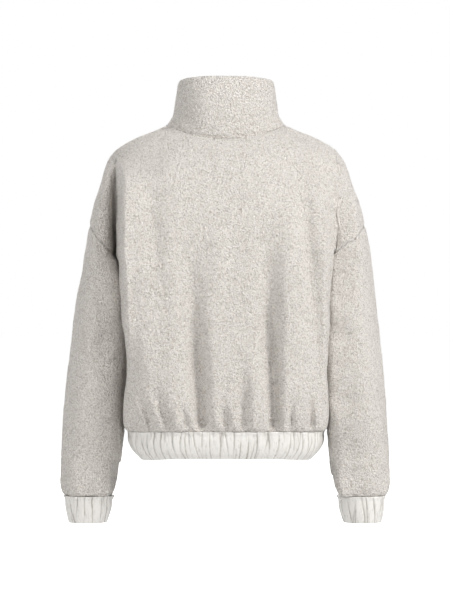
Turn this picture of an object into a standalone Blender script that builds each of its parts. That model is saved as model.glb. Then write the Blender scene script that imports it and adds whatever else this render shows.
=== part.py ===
"""A hip-length pile fleece jacket, worn and filled out: high stand collar, dropped shoulders, long sleeves,
a full front zip, and a gathered satin band at the hem and at each cuff.

The whole outside of the garment is first worked out as one seamless sheet, from short tables of sections.
That sheet is then cut along the seams into its panels, and each panel becomes a wall of cloth.
Sizes are in millimetres. +X is the wearer's left, -Y the front, +Z up, and the origin lies midway between the
points where the shoulder seams meet the collar, which is where the wearer's shoulders carry the jacket.
"""

import math

import bmesh
import bpy
import numpy as np
from mathutils import Vector

MM = 0.001

# Cloth
FLEECE_WALL = 4.0
COLLAR_WALL = 7.0
BAND_WALL = 2.4
SEAM_GAP = 0.3
WELD = 0.02

# Heights of the main seams, from the shoulder's neck point
CREASE_TOP_X = 186.0
CREASE_LOW_X = 187.5
DROP_Z = -160.0
ARMPIT_Z = -212.0
HEM_SEAM_Z = -505.0
HEM_Z = -551.0
CUFF_SEAM_Z = -620.0
CUFF_Z = -666.0
SIDE_Y = -10.0
SHOULDER_Y = -4.0

# The fold between the arm and the body
FOLD_WIDTH = 7.0
FOLD_ROUNDING = 14.0
FOLD_SHARES = (0.9, 0.97)
CREASE_FADE = {1: (-44.0, -84.0), -1: (-52.0, -150.0)}
PINCH_REACH = 62.0
HEM_PINCH = 4.0

# How far from the side line the long folds begin and are whole, and how far above the hem seam they end
FOLDS_FROM_SIDE = (8.0, 45.0)
FOLDS_OVER_HEM = 45.0

# How much further out the left arm hangs than the right, and how much lower the hem lies at the sides
LEFT_ARM_OUT = 3.0
SEAM_SIDE_DROP = 12.0
HEM_SIDE_DROP = 4.0

# Squareness of the sections, 2 being an ellipse
YOKE_POWER = 2.1
TORSO_POWER = 3.3
COLLAR_POWER = 2.15
SLEEVE_POWER = 2.1

# Half gap between the front edges, which the zip fills
ZIP_EDGE_X = 6.0

# Depths that the columns of neck, body and hem are spaced for
NECK_DEPTH = 90.0
TORSO_DEPTH = 140.0
HEM_DEPTH = 110.0

# Mesh counts for one quarter of the body
NECK_COLUMNS = 8
SHOULDER_COLUMNS = 6
ARM_COLUMNS = 10
UPPER_ROWS = 11
LOWER_ROWS = 14
SLEEVE_ROWS = 17
COLLAR_ROWS = 7
RING_POINTS = 200

# Above 1, rows lie closer together near the seam or edge they start from
COLLAR_CROWDING = 1.25
SHOULDER_CROWDING = 1.3
HEM_CROWDING = 1.25
CUFF_CROWDING = 1.35

# Share of the height over which the first rows are drawn onto the neck and shoulder seams, and the last ones
# of the dropped shoulder onto the armhole
SEAM_DRAW = 0.34
ARMHOLE_DRAW = 0.6

# How close a corner of a panel may bring its two edges before the seam's gap is no longer widened there
MITRE_LIMIT = 0.4


def table(text):
    """A named table: the first line holds the column names, and each further line one section."""
    lines = [line.split() for line in text.strip().splitlines()]
    values = np.array(lines[1:], float)
    return {name: values[:, i] for i, name in enumerate(lines[0])}


# The silhouette of the shoulders and arms seen from behind.
OUTLINE = table("""
    z      half_width
    9.0    101
    5.0    111
    0.0    122
    -5.0   135
    -10.0  148
    -15.0  159.5
    -20.0  169
    -25.5  178
    -32.0  186
    -40.0  193.5
    -48.0  199.5
    -63.0  207
    -90.0  216
    -117.0 224.5
    -144.0 232
    -165.0 236
    -185.0 240
    -212.0 245
    -240.0 248.5
    -267.0 251.5
    -300.0 255.5
    -350.0 261
    -400.0 267
    -450.0 272
    -530.0 277
    -575.0 279
    -598.0 280
    -610.0 278.5
    -617.0 274
    -620.0 269.5
""")


# Where the back and the front lie at the centre line, and how wide the body is. The pinch is how far the arm
# presses its side in.
BODY = table("""
    z       back  front  pinch
    9.0     52    -54    0
    2.0     60    -62    0
    -8.0    70    -70    0
    -17.0   78    -78    0
    -45.0   98    -95    0
    -80.0   113   -107   0
    -120.0  124   -126   0
    -165.0  130   -140   0
    -212.0  132   -145   0
    -222.0  132   -145   15
    -240.0  132   -144   25
    -262.0  131   -143   36
    -300.0  130   -140   43
    -350.0  129   -137   44
    -400.0  128   -134   38
    -440.0  127   -131   31
    -470.0  126   -129   23
    -489.0  123   -126   15
    -499.5  118   -121   9
    -505.0  111   -114   5
""")

BODY_SIDE = table("""
    z       corner
    -212.0  187.5
    -240.0  191
    -270.0  193.5
    -350.0  193.5
    -440.0  190
    -470.0  188
    -489.0  186
    -499.5  181
    -505.0  174
""")


# The bottom of the fold between the arm and the body, above the armpit.
CREASE = table("""
    z       back  front
    -30.0   40    -48
    -60.0   44    -56
    -95.0   38    -52
    -130.0  24    -42
    -170.0  6     -26
    -212.0  -10   -10
""")

# The arm: its inner side, and where its back and its front lie. side is where its widest place lies.
ARM = table("""
    z       inner  back  front  side
    -30.0   187    36    -44    -4
    -60.0   187    50    -62    -4
    -95.0   187.5  57    -72    -4
    -130.0  187.5  62    -80    -4
    -170.0  187.5  66    -86    -5
    -212.0  187.5  68    -89    -10
    -222.0  180    67    -88    -10
    -240.0  173    66    -86    -10
    -262.0  167    64    -84    -10
    -300.0  163    60    -81    -11
    -350.0  162    56    -78    -12
    -400.0  165    50    -75    -13
    -450.0  171    44    -72    -15
    -530.0  176    36    -70    -18
    -575.0  180    31    -69    -20
    -598.0  182.5  29    -69    -20
    -610.0  184.5  27    -67    -20
    -617.0  189    22    -62    -20
    -620.0  192.5  17    -57    -20
""")

# The stand collar, from its seam to its top edge; the top rolls in a little.
COLLAR = table("""
    height  half_width  back  front  back_z  side_z  front_z
    0.00    101         78    -105   -17     9       -75
    0.07    98          79    -108   -9      13      -67
    0.16    94.5        79    -111   0       18      -57
    0.28    90          79    -113   12      26.5    -43
    0.50    87.5        78    -114   35      43.5    -18
    0.75    85.5        75      -114     61      62      6
    0.92    84          71      -113     79      76      22
    1.00    82          68      -112     86.5    83      30
""")


# Long folds of the back, which hang from the shoulders or rise from the gathered hem.
BACK_FOLDS = table("""
    x_top  z_top  x_low  z_low  width_top  width_low  depth
    48     -205   42     -520   20         13         15
    -72    -180   -84    -520   20         13         15
    108    -90    122    -330   17         20         5
    134    -46    140    -150   14         16         5
    -146   -80    -160   -340   16         20         5
    104    -400   110    -520   14         13         9
    -128   -425   -126   -520   15         13         8
    0      -430   -10    -520   14         14         4
""")

# Folds of the two fronts, of the same kind and as uneven.
FRONT_FOLDS = table("""
    x_top  z_top  x_low  z_low  width_top  width_low  depth
    58     -225   52     -520   18         13         12
    -50    -240   -60    -520   18         13         13
    112    -190   110    -520   18         14         9
    -118   -210   -112   -520   17         13         10
    132    -60    146    -170   14         16         5
    -134   -60    -148   -165   14         16         5
    148    -415   146    -520   14         13         6
    -86    -435   -88    -520   13         13         5
""")

# Soft folds of the sleeves: where round the arm each lies, from the outer side towards the back.
SLEEVE_FOLDS = table("""
    angle_top  z_top  angle_low  z_low  width  depth
    70         -215   95         -330   22     4
    140        -300   70         -400   20     4.5
    200        -320   275        -410   22     5
    250        -240   300        -330   20     4
    120        -430   60         -520   20     4
    215        -450   270        -540   20     4
    150        -540   165        -622   18     5
    88         -560   90         -622   17     4
    30         -565   35         -622   17     4
    215        -550   210        -622   17     5
    268        -560   270        -622   17     5
    326        -560   322        -622   17     4
""")

# Gathers of the satin, all round
HEM_GATHERS = 62
CUFF_GATHERS = 18
GATHER_DEPTH = 1.9
GATHER_UNEVENNESS = 0.38
WAVE = (0.0, 0.9, 0.75)
WAVE_HEIGHTS = (0.7, 1.15)

# Profile of the satin bands, from the seam to the bottom edge
HEM_BAND = table("""
    share  half_width  back  front
    0.00   168         108   -111
    0.30   170         110   -113
    0.76   162         107   -110
    1.00   151         101   -104
""")
CUFF_BAND = table("""
    share  outer  inner  back  front
    0.00   268    193.5  16    -56
    0.25   270    193    17    -57
    0.75   268    197    15    -55
    1.00   265    201    12    -52
""")

# Zip
TAPE_WIDTH = 15.0
TAPE_WALL = 1.0
TAPE_HALF_GAP = 0.4
TAPE_BEHIND_WALL = 1.5
TAPE_BEHIND_COLLAR = 2.9
BEHIND_COLLAR_FROM = (-18.0, 4.0)
CHAIN_HALF_WIDTH = 3.0
CHAIN_WALL = 2.6
SLIDER_HALF_WIDTH = 4.6
SLIDER_LENGTH = 11.0
SLIDER_PLATE = 1.5
SLIDER_CROWN = 2.4
CROWN_BEVEL = 0.7
PLATE_BEVEL = 1.0
ZIP_TOP_BELOW_COLLAR = 5.0
BAIL_STAND = 3.0
BAIL_BELOW_TOP = 4.62
BAIL_RADIUS = 0.8
BAIL_HALF_WIDTH = 3.2
BAIL_LEG = 1.1
EYE_INNER = 1.25
EYE_OUTER = 2.3
EYE_HALF_WIDTH = 1.7
PULL_HALF_WIDTH = 3.3
PULL_LENGTH = 27.0
PULL_WALL = 1.8
PULL_IN_EYE = 0.7
PULL_NECK = 3.0
PULL_SHOULDER = 4.0
PULL_TIP_BEVEL = 2.0


def smooth(value, low, high):
    """0 at low, 1 at high, and an even S between them; low may be the larger."""
    t = np.clip((np.asarray(value, float) - low) / (high - low), 0.0, 1.0)
    return t * t * (3.0 - 2.0 * t)


def read(columns, name, at, key="z"):
    """A column of a table at any place between its rows, on a smooth curve that doesn't overshoot."""
    x, y = columns[key], columns[name]
    if x[0] > x[-1]:
        x, y = x[::-1], y[::-1]
    step, rise = np.diff(x), np.diff(y)
    slope = rise / step
    mean = (slope[:-1] * step[1:] + slope[1:] * step[:-1]) / (step[1:] + step[:-1])
    mean = np.where(slope[:-1] * slope[1:] <= 0, 0.0, mean)
    limit = 2.0 * np.minimum(abs(slope[:-1]), abs(slope[1:]))
    tangent = np.concatenate([[slope[0]], np.clip(mean, -limit, limit), [slope[-1]]])
    at = np.clip(np.asarray(at, float), x[0], x[-1])
    i = np.clip(np.searchsorted(x, at, side="right") - 1, 0, len(x) - 2)
    h = step[i]
    t = (at - x[i]) / h
    return (
        y[i] * (1 + 2 * t) * (1 - t) ** 2
        + tangent[i] * h * t * (1 - t) ** 2
        + y[i + 1] * t * t * (3 - 2 * t)
        + tangent[i + 1] * h * t * t * (t - 1)
    )


def arc(share, power):
    """The height of a quarter superellipse of unit size, at a share of its half width."""
    return (1.0 - np.clip(share, 0.0, 1.0) ** power) ** (1.0 / power)


def even_shares(count, power, width, depth):
    """Shares of the half width that divide a quarter superellipse into stretches of equal length."""
    fine = np.linspace(0.0, math.pi / 2, 3000)
    x, y = np.sin(fine) ** (2 / power), np.cos(fine) ** (2 / power)
    run = np.concatenate([[0.0], np.cumsum(np.hypot(width * np.diff(x), depth * np.diff(y)))])
    shares = np.interp(np.linspace(0.0, run[-1], count + 1), run, x)
    shares[-1] = 1.0
    return shares


def folds_at(folds, x, z):
    """How far the cloth sinks at a place on the back or the front: the sum of its folds."""
    sunk = np.zeros(np.shape(x))
    for row in zip(*folds.values()):
        x_top, z_top, x_low, z_low, width_top, width_low, depth = row
        down = (z - z_top) / (z_low - z_top)
        along = np.clip(down, 0.0, 1.0)
        middle = x_top + (x_low - x_top) * along
        width = width_top + (width_low - width_top) * along
        fade = smooth(down, -0.12, 0.75)
        if z_low > HEM_SEAM_Z:
            fade = smooth(down, -0.1, 0.45)
        sunk += depth * fade * np.exp(-(((x - middle) / width) ** 2))
    return sunk * smooth(z, HEM_SEAM_Z, HEM_SEAM_Z + FOLDS_OVER_HEM)


class Face:
    """One side of the body, back or front: which way it looks, and its tables."""

    def __init__(self, name, sign, folds):
        self.name = name
        self.sign = sign
        self.folds = folds

    def centre(self, z):
        """Where the centre line lies."""
        return read(BODY, self.name, z)

    def crease(self, z):
        """Where the bottom of the arm's fold lies; below the armpit that is the plane of the side seams."""
        return np.where(z > ARMPIT_Z, read(CREASE, self.name, z), SIDE_Y)


BACK = Face("back", 1, BACK_FOLDS)
FRONT = Face("front", -1, FRONT_FOLDS)


def arm_edge(name, side, z):
    """The arm's outer or inner side, seen from behind."""
    if name == "outer":
        return read(OUTLINE, "half_width", z) + (side > 0) * LEFT_ARM_OUT * smooth(z, -110.0, -170.0)
    return read(ARM, "inner", z) + (side > 0) * LEFT_ARM_OUT * smooth(z, -470.0, -570.0)


def ridge_z(x):
    """The height of the shoulder seam at a place along it."""
    z = np.linspace(OUTLINE["z"][0], ARMPIT_Z, 4000)
    return np.interp(x, read(OUTLINE, "half_width", z), z)


CREASE_TOP_Z = float(ridge_z(CREASE_TOP_X))


def crease_x(z):
    """Where the bottom of the arm's fold lies, seen from behind; below the armpit, the body's plain side."""
    down = np.clip((CREASE_TOP_Z - z) / (CREASE_TOP_Z - ARMPIT_Z), 0.0, 1.0)
    above = CREASE_TOP_X + (CREASE_LOW_X - CREASE_TOP_X) * down
    return np.where(z > ARMPIT_Z, above, read(BODY_SIDE, "corner", z))


def yoke_y(face, side, x, z):
    """The shoulders as plain rounded sections, with no fold at the arm."""
    width = arm_edge("outer", side, z)
    return SHOULDER_Y + (face.centre(z) - SHOULDER_Y) * arc(x / width, YOKE_POWER)


def crease_share(side, z):
    """How far the fold at the arm has formed: 0 at the top of the shoulder, 1 lower down."""
    return smooth(z, *CREASE_FADE[side])


def fold_opening(y, low):
    """How far each wall of the arm's fold is drawn back from its middle, by the height over its bottom."""
    return FOLD_WIDTH / 2 * smooth(abs(y - low), 0.0, FOLD_ROUNDING)


def placed(face, side, x, y, z):
    """Points of the sheet from their place on one side of the body, with the long folds sunk in."""
    sunk = folds_at(face.folds, side * x, z) * smooth(abs(y - SIDE_Y), *FOLDS_FROM_SIDE)
    return np.stack([side * x, y - face.sign * sunk, z + 0.0 * x], axis=-1)


def collar_point(face, share, height):
    """A place on the collar, by its share of the half width and of the height."""
    width = read(COLLAR, "half_width", height, "height")
    middle_y = read(COLLAR, face.name, height, "height")
    middle_z = read(COLLAR, face.name + "_z", height, "height")
    side_z = read(COLLAR, "side_z", height, "height")
    round_off = arc(share, COLLAR_POWER)
    y = SHOULDER_Y + (middle_y - SHOULDER_Y) * round_off
    z = side_z + (middle_z - side_z) * round_off**COLLAR_POWER
    return width * share, y, z


def beside_zip(face, share, width):
    """The front stops short of the centre line, to leave room for the zip."""
    if face is BACK:
        return share
    edge = ZIP_EDGE_X / width
    return edge + share * (1.0 - edge)


def neck_shares(fine):
    """Places along a quarter of the neck seam, as shares of its half width."""
    return even_shares(NECK_COLUMNS * fine, COLLAR_POWER, COLLAR["half_width"][0], NECK_DEPTH)


def collar_grid(face, side, fine=1):
    """One quarter of the collar, in rows from its seam to its top edge."""
    rows = COLLAR_ROWS * fine
    height = np.linspace(0.0, 1.0, rows + 1)[:, None] ** COLLAR_CROWDING
    width = read(COLLAR, "half_width", height, "height")
    x, y, z = collar_point(face, beside_zip(face, neck_shares(fine)[None, :], width), height)
    return np.stack([side * x, y, z], axis=-1)


def top_edge(face, side, fine):
    """A panel's top boundary: the neck seam, and then the shoulder seam out to the arm's fold."""
    neck = collar_grid(face, side, fine)[0]
    run = np.linspace(abs(neck[-1, 0]), CREASE_TOP_X, SHOULDER_COLUMNS * fine + 1)[1:]
    shoulder = np.stack([side * run, np.full(len(run), SHOULDER_Y), ridge_z(run)], axis=-1)
    return np.concatenate([neck, shoulder])


def upper_torso(face, side, fine=1):
    """Rows from the neck and shoulder seams down to the armpit, from the centre line out to the arm's fold."""
    seam = top_edge(face, side, fine)
    columns = (NECK_COLUMNS + SHOULDER_COLUMNS) * fine
    down = np.linspace(0.0, 1.0, UPPER_ROWS * fine + 1)[:, None] ** SHOULDER_CROWDING
    z = seam[:, 2] + (ARMPIT_Z - seam[:, 2]) * down
    low = beside_zip(face, even_shares(columns, TORSO_POWER, CREASE_LOW_X, TORSO_DEPTH), CREASE_LOW_X)
    top = abs(seam[:, 0]) / CREASE_TOP_X
    share = top + (low - top) * smooth(down, 0.0, 0.8)
    x = crease_x(z) * share
    formed = crease_share(side, z)
    crease = face.crease(z)
    creased = crease + (face.centre(z) - crease) * arc(share, TORSO_POWER)
    plain = yoke_y(face, side, x, z)
    opening = formed * fold_opening(creased, crease) * smooth(share, *FOLD_SHARES)
    points = placed(face, side, x - opening, plain + (creased - plain) * formed, z)
    # The first rows are drawn onto the seams.
    return points + (seam - points[0]) * smooth(down, SEAM_DRAW, 0.0)[..., None]


def torso_section(share, corner, centre, pinch):
    """A level section of the body below the armpit, by its share of the half width."""
    y = SIDE_Y + (centre - SIDE_Y) * arc(share, TORSO_POWER)
    near_side = np.exp(-((abs(y - SIDE_Y) / PINCH_REACH) ** 3)) * smooth(share, 0.5, 0.9)
    opening = fold_opening(y, SIDE_Y) * smooth(share, *FOLD_SHARES)
    return corner * share - pinch * near_side - opening, y


def hem_drop(share, most):
    """How much lower the hem lies towards the sides, by the share of the half width."""
    return most * smooth(share, 0.45, 1.0)


def lower_torso(face, side, fine=1):
    """Rows from the armpit to the hem seam, from the centre line to the side seam."""
    columns = (NECK_COLUMNS + SHOULDER_COLUMNS) * fine
    down = np.linspace(0.0, 1.0, LOWER_ROWS * fine + 1)[:, None]
    z = ARMPIT_Z + (HEM_SEAM_Z - ARMPIT_Z) * (1.0 - (1.0 - down) ** HEM_CROWDING)
    share = beside_zip(face, even_shares(columns, TORSO_POWER, CREASE_LOW_X, TORSO_DEPTH), CREASE_LOW_X)
    corner = read(BODY_SIDE, "corner", z)
    x, y = torso_section(share, corner, face.centre(z), read(BODY, "pinch", z))
    points = placed(face, side, x, y, z)
    points[..., 2] -= hem_drop(share, SEAM_SIDE_DROP) * smooth(z, -400.0, HEM_SEAM_Z)
    return points


def arm_angles(fine):
    """Angles round the back of the arm, or round its front, from the outer side (0) to the body (a half turn)."""
    return np.linspace(0.0, math.pi, ARM_COLUMNS * fine + 1)


def armhole_z(angle):
    """The height of the armhole seam: high on the outer side of the arm, low at the armpit."""
    return ARMPIT_Z + (DROP_Z - ARMPIT_Z) * (1.0 + np.cos(angle)) / 2.0


def arm_shape(angle):
    """The arm's section as shares: across, from its inner side (0) to its outer side (1), and out (0 to 1)."""
    cosine, sine = np.cos(angle), np.abs(np.sin(angle))
    across = 0.5 + 0.5 * np.sign(cosine) * np.abs(cosine) ** (2 / SLEEVE_POWER)
    return across, sine ** (2 / SLEEVE_POWER)


def lobe(face, side, fine=1):
    """The dropped shoulder, which fans out from the top of the arm's fold down to the armhole seam."""
    angle = arm_angles(fine)[::-1][None, :]
    down = np.linspace(0.0, 1.0, UPPER_ROWS * fine + 1)[:, None] ** SHOULDER_CROWDING
    z = CREASE_TOP_Z + (armhole_z(angle) - CREASE_TOP_Z) * down
    across, out = arm_shape(angle)
    inner, outer = crease_x(z), arm_edge("outer", side, z)
    x = inner + (outer - inner) * across
    base = np.where(across > 0.5, SHOULDER_Y, face.crease(z))
    creased = base + (read(ARM, face.name, z) - base) * out
    plain = yoke_y(face, side, x, z)
    formed = crease_share(side, z)
    opening = formed * fold_opening(creased, base) * smooth(across, 0.5, 0.0)
    points = placed(face, side, x + opening, plain + (creased - plain) * formed, z)
    armhole = sleeve_half(face, side, fine)[0][::-1]
    points += (armhole - points[-1]) * smooth(down, ARMHOLE_DRAW, 1.0)[..., None]
    crease = upper_torso(face, side, fine)[:, -1]
    points[0] = crease[0]
    points[:, 0] = crease
    return points


def sleeve_sunk(turn, z, side):
    """How far a sleeve's cloth sinks in its folds. The two arms have the same folds at other heights."""
    sunk = np.zeros(np.shape(turn))
    for row in zip(*SLEEVE_FOLDS.values()):
        angle_top, z_top, angle_low, z_low, width, depth = row
        ends_at_cuff = z_low < CUFF_SEAM_Z
        shift = 0.0 if ends_at_cuff or side > 0 else 16.0
        down = (z - z_top - shift) / (z_low - z_top)
        middle = angle_top + (angle_low - angle_top) * np.clip(down, 0, 1) + (0 if side > 0 else 9)
        away = (turn - middle + 180.0) % 360.0 - 180.0
        fade = smooth(down, 0.0, 0.5) * (1.0 if ends_at_cuff else smooth(down, 1.0, 0.5))
        sunk += depth * fade * np.exp(-((away / width) ** 2))
    return sunk * smooth(z, -205.0, -240.0)


def sleeve_half(face, side, fine=1):
    """The back or the front half of a sleeve, in rows from the armhole seam to the cuff seam."""
    angle = arm_angles(fine)[None, :]
    down = np.linspace(0.0, 1.0, SLEEVE_ROWS * fine + 1)[:, None]
    # The rows lie closer near the cuff, where the fleece rounds in to its seam.
    down = 1.0 - (1.0 - down) ** CUFF_CROWDING
    top = armhole_z(angle)
    z = top + (CUFF_SEAM_Z - top) * down
    across, out = arm_shape(angle)
    inner, outer = arm_edge("inner", side, z), arm_edge("outer", side, z)
    side_y = read(ARM, "side", z)
    inner_y = np.where(z > ARMPIT_Z, face.crease(z), side_y)
    base = np.where(across > 0.5, side_y, inner_y)
    x = inner + (outer - inner) * across
    y = base + (read(ARM, face.name, z) - base) * out
    turn = np.degrees(angle) if face is BACK else 360.0 - np.degrees(angle)
    sunk = sleeve_sunk(turn + 0.0 * z, z, side)
    away_x = x - 0.5 * (inner + outer)
    away_y = y - 0.5 * (read(ARM, "back", z) + read(ARM, "front", z))
    reach = np.hypot(away_x, away_y)
    return np.stack([side * (x - away_x / reach * sunk), y - away_y / reach * sunk, z], axis=-1)


# ---------------------------------------------------------------------------------------------------------------
# The seamless sheet, and the panels that are cut from it
# ---------------------------------------------------------------------------------------------------------------


def add_grid(form, layer, points, panel, outward):
    """Adds a grid of points to the sheet as faces of one panel. outward is True where rows by columns face out."""
    rows, columns = points.shape[:2]
    verts = [[form.verts.new(Vector(p) * MM) for p in row] for row in points]
    for i in range(rows - 1):
        for j in range(columns - 1):
            ring = [verts[i][j], verts[i + 1][j], verts[i + 1][j + 1], verts[i][j + 1]]
            face = form.faces.new(ring if outward else ring[::-1])
            face[layer] = panel
            face.smooth = True


PANELS = ("back", "front_left", "front_right", "sleeve_left", "sleeve_right", "collar")


def make_sheet():
    """The whole garment's outside but for its satin bands, as one sheet whose faces know their panel."""
    form = bmesh.new()
    layer = form.faces.layers.int.new("panel")
    for side, hand in ((1, "left"), (-1, "right")):
        for face in (BACK, FRONT):
            panel = PANELS.index("back" if face is BACK else "front_" + hand)
            out = (side * face.sign) < 0
            add_grid(form, layer, upper_torso(face, side), panel, out)
            add_grid(form, layer, lower_torso(face, side), panel, out)
            add_grid(form, layer, lobe(face, side), panel, out)
            add_grid(form, layer, collar_grid(face, side), PANELS.index("collar"), not out)
            add_grid(form, layer, sleeve_half(face, side), PANELS.index("sleeve_" + hand), not out)
    bmesh.ops.remove_doubles(form, verts=form.verts, dist=WELD * MM)
    form.verts.index_update()
    form.faces.index_update()
    form.normal_update()
    # The point of each armpit, where sleeve and body part downwards, looks straight down.
    for side in (1, -1):
        armpit = Vector((side * CREASE_LOW_X, SIDE_Y, ARMPIT_Z)) * MM
        min(form.verts, key=lambda v: (v.co - armpit).length).normal = Vector((0, 0, -1))
    return form, layer


def level_edge(vert):
    """True on the hem and cuff edges of the sheet, where the wall's rim lies level to meet its satin band."""
    return vert.is_boundary and vert.co.z / MM < HEM_SEAM_Z + 0.5


def seam_shift(vert, faces):
    """How far a point on a panel's edge moves along the cloth into the panel, to leave half the seam's gap."""
    edges = [e for e in vert.link_edges if sum(f in faces for f in e.link_faces) == 1]
    ends = [e.other_vert(vert).co for e in edges]
    if len(ends) < 2:
        return Vector()
    tangent = (ends[0] - ends[1]).normalized()
    into = sum((f.calc_center_median() - vert.co for f in vert.link_faces if f in faces), Vector())
    into -= vert.normal * into.dot(vert.normal)
    into -= tangent * into.dot(tangent)
    into.normalize()
    # At a corner the point moves further, so that both of its edges keep the gap.
    sines = [into.cross((end - vert.co).normalized()).length for end in ends]
    return into * (SEAM_GAP / 2 * MM / max(min(sines), MITRE_LIMIT))


def panel_mesh(form, layer, panel, wall):
    """One panel as a closed wall: the sheet's own points, the same points a wall further in, and the rim."""
    faces = {f for f in form.faces if f[layer] == panel}
    mesh = bmesh.new()
    outer, inner = {}, {}
    for vert in sorted({v for f in faces for v in f.verts}, key=lambda v: v.index):
        on_edge = any(sum(f in faces for f in e.link_faces) == 1 for e in vert.link_edges)
        normal = vert.normal.copy()
        if level_edge(vert):
            normal.z = 0.0
            normal.normalize()
        place = vert.co.copy()
        if on_edge and not level_edge(vert):
            place += seam_shift(vert, faces)
        # The collar thins to the fleece's own wall at its seam.
        at_seam = any(f not in faces for f in vert.link_faces)
        outer[vert] = mesh.verts.new(place)
        inner[vert] = mesh.verts.new(place - normal * (FLEECE_WALL if at_seam else wall) * MM)
    for face in sorted(faces, key=lambda f: f.index):
        ring = list(face.verts)
        mesh.faces.new([outer[v] for v in ring])
        mesh.faces.new([inner[v] for v in reversed(ring)])
        for a, b in zip(ring, ring[1:] + ring[:1]):
            edge = next(e for e in a.link_edges if e.other_vert(a) is b)
            if sum(f in faces for f in edge.link_faces) == 1:
                # Both panels of a seam split their rims along the same diagonal, so that the rims lie parallel.
                rim = [outer[b], outer[a], inner[a], inner[b]]
                first = 1 if a.index < b.index else 0
                rim = rim[first:] + rim[:first]
                mesh.faces.new([rim[0], rim[1], rim[2]])
                mesh.faces.new([rim[0], rim[2], rim[3]])
    return mesh


def object_from(mesh, name, material):
    """A named object from a bmesh, shaded smooth but for its rims."""
    data = bpy.data.meshes.new(name)
    mesh.normal_update()
    mesh.to_mesh(data)
    mesh.free()
    data.shade_smooth()
    data.set_sharp_from_angle(angle=math.radians(50))
    data.materials.append(material)
    made = bpy.data.objects.new(name, data)
    bpy.context.scene.collection.objects.link(made)
    return made


# ---------------------------------------------------------------------------------------------------------------
# Satin bands
# ---------------------------------------------------------------------------------------------------------------


def gathers(count, seed):
    """The mesh columns of a gathered band: each one's share of the way round, and the height of its wave."""
    random = np.random.default_rng(seed)
    widths = 1.0 + GATHER_UNEVENNESS * (random.random(count) * 2 - 1)
    ends = np.concatenate([[0.0], np.cumsum(widths)]) / widths.sum()
    share = [a + (b - a) * k / len(WAVE) for a, b in zip(ends, ends[1:]) for k in range(len(WAVE))]
    height = [tall * wave for tall in random.uniform(*WAVE_HEIGHTS, count) for wave in WAVE]
    return np.array(share), np.array(height)


def along(ring, shares, sight=3.0):
    """Points at shares of the way along a level line, and the level direction out of it."""
    run = np.concatenate([[0.0], np.cumsum(np.linalg.norm(np.diff(ring, axis=0), axis=1))])
    at = shares * run[-1]
    points = np.stack([np.interp(at, run, ring[:, k]) for k in (0, 1)], axis=-1)
    ahead = np.stack([np.interp(np.clip(at + sight, 0, run[-1]), run, ring[:, k]) for k in (0, 1)], axis=-1)
    behind = np.stack([np.interp(np.clip(at - sight, 0, run[-1]), run, ring[:, k]) for k in (0, 1)], axis=-1)
    way = ahead - behind
    out = np.stack([way[:, 1], -way[:, 0]], axis=-1)
    return points, out / np.linalg.norm(out, axis=1, keepdims=True)


def hem_ring(half_width, back, front):
    """A level line round the hem from one side of the zip to the other, by the wearer's left."""
    share = even_shares(RING_POINTS, TORSO_POWER, half_width, HEM_DEPTH)
    quarters = []
    for side in (1, -1):
        for face, centre in ((FRONT, front), (BACK, back)):
            x, y = torso_section(beside_zip(face, share, half_width), half_width, centre, HEM_PINCH)
            quarters.append(np.stack([side * x, y], axis=-1))
    left_front, left_back, right_front, right_back = quarters
    return np.concatenate([left_front, left_back[-2::-1], right_back[1:], right_front[-2::-1]])


def cuff_ring(side, outer, inner, back, front):
    """A level closed line round a wrist, from its outer side by its front for the left arm."""
    angle = np.linspace(0.0, math.pi, RING_POINTS)
    across, out = arm_shape(angle)
    x = inner + (outer - inner) * across
    middle = ARM["side"][-1]
    fore = np.stack([side * x, middle + (front - middle) * out], axis=-1)
    rear = np.stack([side * x, middle + (back - middle) * out], axis=-1)
    loop = np.concatenate([rear, fore[-2::-1]])
    return loop if side > 0 else loop[::-1]


def puff(share):
    """How full the gathers of a band stand at a share of its height: flat at both seams, full between them."""
    return 0.35 + 0.65 * math.sin(math.pi * min(share * 1.4 + 0.1, 1.0))


def band_solid(name, levels, waves, closed, material):
    """A gathered band: waved points outside, plain points inside, and level rims at the top and the bottom.
    Each level is (share, heights, points, out), from the seam down."""
    mesh = bmesh.new()
    last = len(levels) - 1
    outside, inside = [], []
    for level, (share, z, points, out) in enumerate(levels):
        lifted = points + out * (GATHER_DEPTH * waves * puff(share))[:, None]
        for rows, flat in ((outside, lifted), (inside, points - out * BAND_WALL)):
            rows.append([mesh.verts.new(Vector((x, y, h)) * MM) for (x, y), h in zip(flat, z)])
    count = len(waves)
    for j in range(count if closed else count - 1):
        k = (j + 1) % count
        for rows, a, b in ((outside, j, k), (inside, k, j)):
            for high, low in zip(rows, rows[1:]):
                mesh.faces.new([high[a], low[a], low[b], high[b]])
        mesh.faces.new([outside[0][k], inside[0][k], inside[0][j], outside[0][j]])
        mesh.faces.new([outside[last][j], inside[last][j], inside[last][k], outside[last][k]])
    if not closed:
        for end in (0, -1):
            for level in range(last):
                pair = outside[level][end], outside[level + 1][end]
                mesh.faces.new([*pair, inside[level + 1][end], inside[level][end]])
    bmesh.ops.recalc_face_normals(mesh, faces=mesh.faces)
    return object_from(mesh, name, material)


def band_levels(profile, top, bottom, ring, shares):
    """The levels of a band: a ring for each row of its profile, sampled at the gathers' shares."""
    levels = []
    for share, *sizes in zip(*profile.values()):
        points, out = along(ring(*sizes), shares)
        levels.append((share, np.full(len(shares), top + (bottom - top) * share), points, out))
    return levels


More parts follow.
